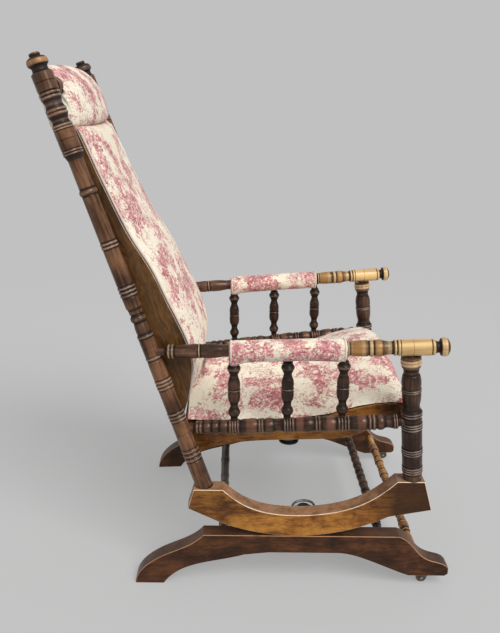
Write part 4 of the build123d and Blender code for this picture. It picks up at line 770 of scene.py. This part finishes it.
shown(seat, TOILE, RF)
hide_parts("seat_cushion")

# ---- back: a long stuffed panel, proud of the boards, with a welt along each board
BF = [(0.179, 0.401), (0.172, 0.443), (0.171, 0.485), (0.179, 0.516), (0.191, 0.546), (0.219, 0.606), (0.246, 0.665), (0.281, 0.723), (0.312, 0.788),
      (0.340, 0.852), (0.356, 0.891), (0.370, 0.924)]


def smooth_interp(q, table):
    """Catmull-Rom through (y, z) pairs, y as a function of z."""
    zs = np.array([b for a, b in table])
    ys = np.array([a for a, b in table])
    m = np.gradient(ys, zs)
    i = np.clip(np.searchsorted(zs, q) - 1, 0, len(zs) - 2)
    h = zs[i + 1] - zs[i]
    u = np.clip((q - zs[i]) / h, 0, 1)
    return ((2 * u ** 3 - 3 * u ** 2 + 1) * ys[i] + (u ** 3 - 2 * u ** 2 + u) * h * m[i] + (-2 * u ** 3 + 3 * u ** 2) * ys[i + 1] + (u ** 3 - u ** 2) * h * m[i + 1])


def board_in(zz):
    return 0.243 - 0.053 * (zz - 0.218) / 0.832 - 0.0199 - 0.014


def post_line(zz):
    return 0.147 + 0.284 * (zz - 0.218) / 0.832


nu, nv = 71, 111
f = np.linspace(-1, 1, nu)[:, None] * np.ones((1, nv))
f = np.sign(f) * (1 - (1 - np.abs(f)) ** 1.15)
v = np.linspace(0, 1, nv)[None, :] * np.ones((nu, 1))
zz = 0.4025 + v * (0.9285 - 0.4025)
front = smooth_interp(zz, BF)
crown = 0.0215 * np.clip(1 - np.abs(f) ** 2.3, 0, 1) ** 0.85
crown = crown * (0.80 + 0.20 * np.sin(np.pi * np.clip((zz - 0.40) / 0.5, 0, 1)))
low = np.clip((zz - 0.4025) / 0.020, 0, 1)
high = np.clip((0.9285 - zz) / 0.022, 0, 1)
curl = (1 - np.sqrt(np.clip(1 - (1 - low) ** 2, 0, 1))) * 0.016 + (1 - np.sqrt(np.clip(1 - (1 - high) ** 2, 0, 1))) * (0.006 + 0.45 * crown)
lump = np.zeros_like(zz)
xx = f * (board_in(zz) - 0.0012)
for i in range(nu):
    for j in range(nv):
        lump[i, j] = mnoise.noise(Vector((xx[i, j] * 12.0, zz[i, j] * 10.0, 7.7))) * 0.0032 + mnoise.noise(Vector((xx[i, j] * 36.0, zz[i, j] * 30.0, 2.2))) * 0.0009
inside = np.clip((1 - np.abs(f)) * 6, 0, 1) * np.clip(low * 1.0, 0, 1) * np.clip(high, 0, 1)
yf = front - 0.0012 - crown + curl + lump * inside
for sx in (-1.0, 1.0):
    for cu, cv, ang, ln, wd, am in ((0.160, 0.905, -2.2, 0.09, 0.005, 0.0022), (0.140, 0.915, -1.9, 0.08, 0.005, 0.0018), (0.175, 0.47, 2.7, 0.08, 0.006, 0.0016)):
        yf = yf - fold(xx * sx, zz, cu, cv, ang, ln, wd, am) * inside
outer = np.stack([xx, yf + YD, zz], -1)
inner = np.stack([xx * 0.999, post_line(zz) - 0.0096 + YD, zz], -1)
back, off = closed_shell("back_cover", outer, inner)
free = np.clip((1 - np.abs(f)) * 8, 0, 1) * np.clip((low - 0.9) * 10, 0, 1) * np.clip((high - 0.9) * 10, 0, 1)
pin = np.ones(len(back.data.vertices))
pin[:off] = 1 - free.ravel()
puff(back, pin, 4.0, 0.005, frames=14)
shown(back, TOILE_B, RF)
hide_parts("back_cushion")
for side, s in (("right", -1.0), ("left", 1.0)):
    path = []
    for q in np.linspace(0.408, 0.921, 90):
        path.append((s * (board_in(q) + 0.0015), float(smooth_interp(np.array([q]), BF)[0]) - 0.0016 + YD, q))
    welt = ring_tube(f"back_welt_{side}", path, 0.0024)
    shown(welt, PIPING, RF)

# ---- head roll: full in the middle, gathered round the wooden core at both ends
HEAD = [(0.3690, 0.9255, 0.8), (0.3565, 0.9300, 0.95), (0.3505, 0.9400, 1.0), (0.352, 0.953, 1.0), (0.356, 0.967, 0.95), (0.362, 0.984, 0.9), (0.369, 0.998, 0.8), (0.379, 1.010, 0.7), (0.391, 1.0215, 0.5),
        (0.405, 1.0305, 0.3), (0.419, 1.0355, 0.1), (0.431, 1.0355, 0.0), (0.441, 1.0315, -0.1), (0.447, 1.022, -0.1), (0.448, 1.008, 0.0), (0.4445, 0.992, 0.0), (0.440, 0.976, 0.0),
        (0.4335, 0.958, 0.0), (0.427, 0.941, 0.0), (0.4205, 0.9262, 0.0)]
core_y, core_z = 0.147 + 0.284 * 0.825 / 0.879 - 0.004, 0.218 + 0.832 * 0.825 / 0.879
sec = np.array(HEAD)
nsec = 96
seg = np.r_[0, np.cumsum(np.linalg.norm(np.diff(np.vstack([sec[:, :2], sec[:1, :2]]), axis=0), axis=1))]
loop = np.vstack([sec, sec[:1]])
ts = np.linspace(0, seg[-1], nsec, endpoint=False)
base = np.stack([np.interp(ts, seg, loop[:, k]) for k in range(3)], -1)
for _ in range(3):
    sm = (np.roll(base, 1, 0) + base * 2 + np.roll(base, -1, 0)) / 4
    hold = (base[:, 1] < 0.932)[:, None]
    base = np.where(hold, base, sm)
W = 0.1628
xs = np.concatenate([np.linspace(0, 0.86, 25), [0.90, 0.935, 0.96, 0.98, 0.992, 1.0]])
xs = np.concatenate([-xs[:0:-1], xs])
rows = []
for fx in xs:
    a = abs(fx)
    fwd = 0.022 * a ** 2.2
    yy_ = base[:, 0] + fwd * np.clip(base[:, 2], 0, 1)
    zz_ = base[:, 1] + (0.0040 - 0.0080 * a ** 2.5) * np.clip((base[:, 1] - 0.96) / 0.07, 0, 1)
    # round over towards each end
    close = np.clip((a - 0.86) / 0.14, 0, 1)
    shrink = 1 - 0.26 * (1 - np.sqrt(np.clip(1 - close ** 2, 0, 1)))
    keep_low = np.clip((zz_ - 0.926) / 0.03, 0, 1)
    cy, cz = core_y, core_z
    yy2 = cy + (yy_ - cy) * shrink
    zz2 = cz + (zz_ - cz) * shrink
    yy_ = yy_ * (1 - keep_low) + yy2 * keep_low
    zz_ = zz_ * (1 - keep_low) + zz2 * keep_low
    th = np.arctan2(zz_ - cz, yy_ - cy)
    pleat = 0.0017 * np.clip((a - 0.74) / 0.26, 0, 1) * np.sin(th * 15 + 1.6 * np.sin(th * 3)) * keep_low
    rr = np.hypot(yy_ - cy, zz_ - cz)
    yy_ = cy + np.cos(th) * (rr + pleat)
    zz_ = cz + np.sin(th) * (rr + pleat)
    rows.append(np.stack([np.full(nsec, fx * W), yy_, zz_], -1))
grid = np.array(rows)
# the end faces fall in to the core's hole
ends = []
for g_, sx in ((grid[0], -1.0), (grid[-1], 1.0)):
    th = np.arctan2(g_[:, 2] - core_z, g_[:, 1] - core_y)
    dv = np.stack([np.cos(th), np.sin(th)], -1)
    rad = np.full(nsec, 0.0184)
    rim_ = np.stack([core_y + dv[:, 0] * rad, core_z + dv[:, 1] * rad], -1)
    steps = []
    for q, dx in ((0.25, 0.0010), (0.5, 0.0008), (0.75, -0.0002), (0.92, -0.0016), (1.0, -0.0045)):
        yz = g_[:, 1:] * (1 - q) + rim_ * q
        pl = 0.0016 * np.sin(th * 15 + 1.6 * np.sin(th * 3)) * (1 - q) ** 0.7
        steps.append(np.concatenate([np.full((nsec, 1), sx * (W + dx)) + sx * pl[:, None], yz], -1))
    inner_x = np.concatenate([np.full((nsec, 1), sx * (W - 0.030)), rim_], -1)
    steps.append(inner_x)
    ends.append(steps)
allrows = ends[0][::-1] + list(grid) + ends[1]
allrows = np.array(allrows)
nr = len(allrows)
pts = allrows.reshape(-1, 3).copy()
pts[:, 1] += YD
faces = []
for i in range(nr - 1):
    for j in range(nsec):
        k = (j + 1) % nsec
        faces.append([i * nsec + j, i * nsec + k, (i + 1) * nsec + k, (i + 1) * nsec + j])
# inside, the two sleeves join round the core
for j in range(nsec):
    k = (j + 1) % nsec
    faces.append([j, (nr - 1) * nsec + j, (nr - 1) * nsec + k, k])
me = bpy.data.meshes.new("head_roll_cover")
me.from_pydata(pts.tolist(), [], faces)
bm = bmesh.new()
bm.from_mesh(me)
bmesh.ops.recalc_face_normals(bm, faces=bm.faces)
bm.to_mesh(me)
bm.free()
roll = link(bpy.data.objects.new("head_roll_cover", me))
co = verts(me)
free = np.clip((0.9 - np.abs(co[:, 0]) / W) * 5, 0, 1) * np.clip((co[:, 2] - 0.932) / 0.012, 0, 1)
r_core = np.hypot(co[:, 1] - YD - core_y, co[:, 2] - core_z)
puff(roll, 1 - free, 3.0, 0.003, frames=12)
shown(roll, TOILE_H, RF)
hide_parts("head_roll")

# ---- arm pads: a stuffed sleeve round each arm, hanging a little at its rear corner, with a turned-in cuff at each end
for side, s in (("right", -1.0), ("left", 1.0)):
    ncirc, nlen = 44, 66
    ys = np.linspace(0.0965, -0.1265, nlen)
    rows = []
    for i, ya in enumerate(ys):
        q = i / (nlen - 1)
        ax = np.array(arm_axis(s, float(ya)))
        e = min(q, 1 - q)
        cuff = 1 - 0.14 * math.exp(-(e / 0.009) ** 2) - 0.04 * math.exp(-((e - 0.040) / 0.008) ** 2)
        fat = 1 + 0.06 * math.sin(math.pi * q)
        droop = 0.0140 * math.exp(-((q - 0.04) / 0.06) ** 2) + 0.0035 * math.exp(-((q - 0.95) / 0.05) ** 2)
        row = []
        for kx in range(ncirc):
            th = 2 * math.pi * kx / ncirc
            cx, sn = math.cos(th), math.sin(th)
            rx = 0.0225 * fat * cuff
            rz = (0.0185 if sn > 0 else 0.0225) * (fat if sn < 0 else 1 + 0.02 * math.sin(math.pi * q)) * cuff
            px = rx * math.copysign(abs(cx) ** 0.86, cx)
            pz = rz * math.copysign(abs(sn) ** 0.86, sn)
            if sn < 0:
                pz -= droop * abs(sn) ** 1.5 * (0.35 + 0.65 * max(0.0, s * cx * 0.8 + 0.2))
                pz += 0.0022 * math.sin(math.pi * q) ** 2
            row.append((ax[0] + px, ax[1], ax[2] + pz))
        rows.append(row)
    outer = np.array(rows)
    # puckers under the pad where the cloth is drawn together
    for i in range(nlen):
        for kx in range(ncirc):
            w_ = mnoise.noise(Vector((outer[i, kx, 0] * 60, outer[i, kx, 1] * 24, outer[i, kx, 2] * 60 + 11 * s)))
            outer[i, kx, 2] += 0.0011 * w_
    inner_rows = []
    for i, ya in enumerate(ys):
        ax = np.array(arm_axis(s, float(ya)))
        inner_rows.append([(ax[0] + 0.01235 * math.cos(2 * math.pi * kx / ncirc), ax[1], ax[2] + 0.01235 * math.sin(2 * math.pi * kx / ncirc)) for kx in range(ncirc)])
    inner = np.array(inner_rows)
    pts = np.concatenate([outer.reshape(-1, 3), inner.reshape(-1, 3)])
    off = nlen * ncirc
    faces = []
    for i in range(nlen - 1):
        for j in range(ncirc):
            k = (j + 1) % ncirc
            a, b, c, d = i * ncirc + j, i * ncirc + k, (i + 1) * ncirc + k, (i + 1) * ncirc + j
            faces.append([a, b, c, d])
            faces.append([d + off, c + off, b + off, a + off])
    for i in (0, nlen - 1):
        for j in range(ncirc):
            k = (j + 1) % ncirc
            a, b = i * ncirc + j, i * ncirc + k
            faces.append([a, b, b + off, a + off])
    me = bpy.data.meshes.new(f"arm_pad_cover_{side}")
    me.from_pydata(pts.tolist(), [], faces)
    bm = bmesh.new()
    bm.from_mesh(me)
    bmesh.ops.recalc_face_normals(bm, faces=bm.faces)
    bm.to_mesh(me)
    bm.free()
    pad = link(bpy.data.objects.new(f"arm_pad_cover_{side}", me))
    pin = np.ones(len(pts))
    qv = np.repeat(np.linspace(0, 1, nlen), ncirc)
    pin[:off] = 1 - np.clip((np.minimum(qv, 1 - qv) - 0.05) * 12, 0, 1)
    puff(pad, pin, 3.0, 0.0022, frames=10)
    shown(pad, TOILE_A, RF)
    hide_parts(f"arm_pad_{side}")
    # braid over the cuff at each end
    for tag, yc in (("rear", 0.0925), ("front", -0.1225)):
        ax = np.array(arm_axis(s, yc))
        ringp = []
        for kx in range(41):
            th = 2 * math.pi * kx / 40
            cx, sn = math.cos(th), math.sin(th)
            dz = 0.0185 if sn > 0 else 0.0225 + (0.006 * abs(sn) ** 1.5 * (0.35 + 0.65 * max(0.0, s * cx * 0.8 + 0.2)) if tag == "rear" else 0.001)
            ringp.append((ax[0] + 0.0222 * math.copysign(abs(cx) ** 0.86, cx), ax[1], ax[2] + dz * math.copysign(abs(sn) ** 0.86, sn)))
        gimp = ring_tube(f"arm_gimp_{side}_{tag}", ringp, 0.0018, sides=8)
        shown(gimp, GIMP, RF)

# ---- outside back and webbing


def slab_cloth(node, name, along, normal, crown, seed, nu=61, nv=91):
    """A closed cloth over a thin CAD slab, swelling a little on the side that normal points to."""
    co = verts(NODES[node].data)
    along = np.array(Vector(along).normalized())
    normal = np.array(Vector(normal).normalized())
    v_, d_ = co @ along, co @ normal
    corner = {}
    for sv in (-1, 1):
        for sx in (-1, 1):
            for sd in (-1, 1):
                corner[sv, sx, sd] = co[np.argmax(sv * v_ * 1000 + sx * co[:, 0] * 30 + sd * d_)]
    u = np.linspace(0, 1, nu)[:, None, None]
    v = np.linspace(0, 1, nv)[None, :, None]

    def face(sd):
        lo = corner[-1, -1, sd] * (1 - u) + corner[-1, 1, sd] * u
        hi = corner[1, -1, sd] * (1 - u) + corner[1, 1, sd] * u
        return lo * (1 - v) + hi * v

    outer, inner = face(1), face(-1)
    e = np.clip(np.minimum(np.minimum(u, 1 - u) * 9, np.minimum(v, 1 - v) * 12), 0, 1)[:, :, 0]
    e = e * e * (3 - 2 * e)
    for i in range(nu):
        for j in range(nv):
            q = outer[i, j]
            slack = mnoise.noise(Vector((q[0] * 9.0 + seed, (q @ along) * 7.0, seed))) * 0.0007
            outer[i, j] = q + normal * (e[i, j] * (crown + slack) - 0.0001)
    return closed_shell(name, outer, inner)[0]


lean = (0.0, 0.284, 0.832)
ob = slab_cloth("back_panel", "back_panel_cover", lean, (0.0, 0.832, -0.284), 0.0016, 4.4)
shown(ob, TOILE_O, RF)
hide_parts("back_panel")
co = verts(NODES["seat_webbing"].data)
ya, yb = co[:, 1].min(), co[:, 1].max()
xa = np.abs(co[co[:, 1] < ya + 0.002, 0]).max()
xb = np.abs(co[co[:, 1] > yb - 0.002, 0]).max()
wy_ = np.linspace(ya, yb, 86)[None, :] * np.ones((61, 1))
wx_ = np.linspace(-1, 1, 61)[:, None] * (xa + (xb - xa) * (wy_ - ya) / (yb - ya))
wz_ = np.interp(wy_ - YD, (-0.238, -0.105, 0.039, 0.186), (0.3767, 0.3617, 0.3497, 0.3422))
# over and under: 50 mm straps with narrow gaps pressed into the cloth between them
su = np.abs(np.mod(wx_ / 0.056 + 0.5, 1.0) - 0.5) * 0.056
sv = np.abs(np.mod((wy_ - ya) / 0.056, 1.0) - 0.5) * 0.056
press = 0.0007 * (np.clip((su - 0.0245) / 0.003, 0, 1) + np.clip((sv - 0.0245) / 0.003, 0, 1))
ob = closed_shell("seat_webbing_cloth", np.stack([wx_, wy_, wz_], -1), np.stack([wx_, wy_, wz_ - 0.003 + press], -1))[0]
shown(ob, JUTE, RF, 0)
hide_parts("seat_webbing")

# ---------------------------------------------------------------- stage

FLOOR_ALBEDO = 0.25

floor_me = bpy.data.meshes.new("floor")
FR = 30.0
bm = bmesh.new()
rings_ = []
for r in (0.0, 0.8, 1.6, 3.0, 6.0, 12.0, FR):
    if r == 0.0:
        rings_.append([bm.verts.new((0, 0, 0))])
    else:
        rings_.append([bm.verts.new((r * math.cos(2 * math.pi * k / 48), r * math.sin(2 * math.pi * k / 48), 0)) for k in range(48)])
for k in range(48):
    bm.faces.new((rings_[0][0], rings_[1][k], rings_[1][(k + 1) % 48]))
for r0, r1 in zip(rings_[1:-1], rings_[2:]):
    for k in range(48):
        bm.faces.new((r0[k], r1[k], r1[(k + 1) % 48], r0[(k + 1) % 48]))
bm.to_mesh(floor_me)
bm.free()
floor = link(bpy.data.objects.new("floor", floor_me))
GREY = 0.533
ft = Tree("stage_floor")
far = ft.step(ft.vec("LENGTH", ft.co), 1.3, 3.2)
g = ft.noise(ft.co, 3.0, 3.0, 0.5)
shade = ft.mix(g, (FLOOR_ALBEDO * 0.995,) * 3, (FLOOR_ALBEDO * 1.005,) * 3)
ft.set(Base_Color=ft.mix(far, shade, (0.0, 0.0, 0.0)), Roughness=0.95)
ft.bsdf.inputs["Specular IOR Level"].default_value = 0.0
glow = ft.math("ADD", ft.math("MULTIPLY", far, FLOOR_ALBEDO / 0.53), 1.0 - FLOOR_ALBEDO / 0.53)
ft.set(Emission_Color=(GREY, GREY, GREY, 1.0), Emission_Strength=glow)
floor.data.materials.append(ft.m)

world = bpy.data.worlds.new("world")
world.use_nodes = True
world.node_tree.nodes["Background"].inputs[0].default_value = (GREY, GREY, GREY, 1)
world.node_tree.nodes["Background"].inputs[1].default_value = 1.0
bpy.context.scene.world = world
bpy.context.scene.view_settings.view_transform = "Standard"
bpy.context.scene.view_settings.look = "None"


def area(name, loc, target, size, power, colour=(1, 1, 1)):
    ld = bpy.data.lights.new(name, "AREA")
    ld.shape = "RECTANGLE"
    ld.size, ld.size_y = size
    ld.energy = power
    ld.color = colour
    lo = link(bpy.data.objects.new(name, ld))
    lo.location = loc
    lo.rotation_euler = (Vector(target) - Vector(loc)).to_track_quat("-Z", "Y").to_euler()
    return lo


def sun(name, direction, strength, angle):
    ld = bpy.data.lights.new(name, "SUN")
    ld.energy = strength
    ld.angle = math.radians(angle)
    lo = link(bpy.data.objects.new(name, ld))
    lo.rotation_euler = (-Vector(direction)).to_track_quat("-Z", "Y").to_euler()
    return lo


sun("key", (-0.62, -0.42, 0.78), 2.1, 35.0)
area("glint", (-1.4, -1.2, 2.6), (0, 0, 0.4), (0.5, 1.6), 14)

cam_d = bpy.data.cameras.new("camera")
cam = link(bpy.data.objects.new("camera", cam_d))
cam_d.sensor_width = 36.0
cam_d.lens = 36.0 * 700.0 / 633.0
pitch, yaw = 0.311, -0.020
fwd = Vector((math.cos(yaw) * math.cos(pitch), math.sin(yaw) * math.cos(pitch), -math.sin(pitch)))
cam.location = (-1.500, 0.081 + YD, 0.990)
cam.rotation_euler = fwd.to_track_quat("-Z", "Y").to_euler()
cam_d.clip_start = 0.05
bpy.context.scene.camera = cam
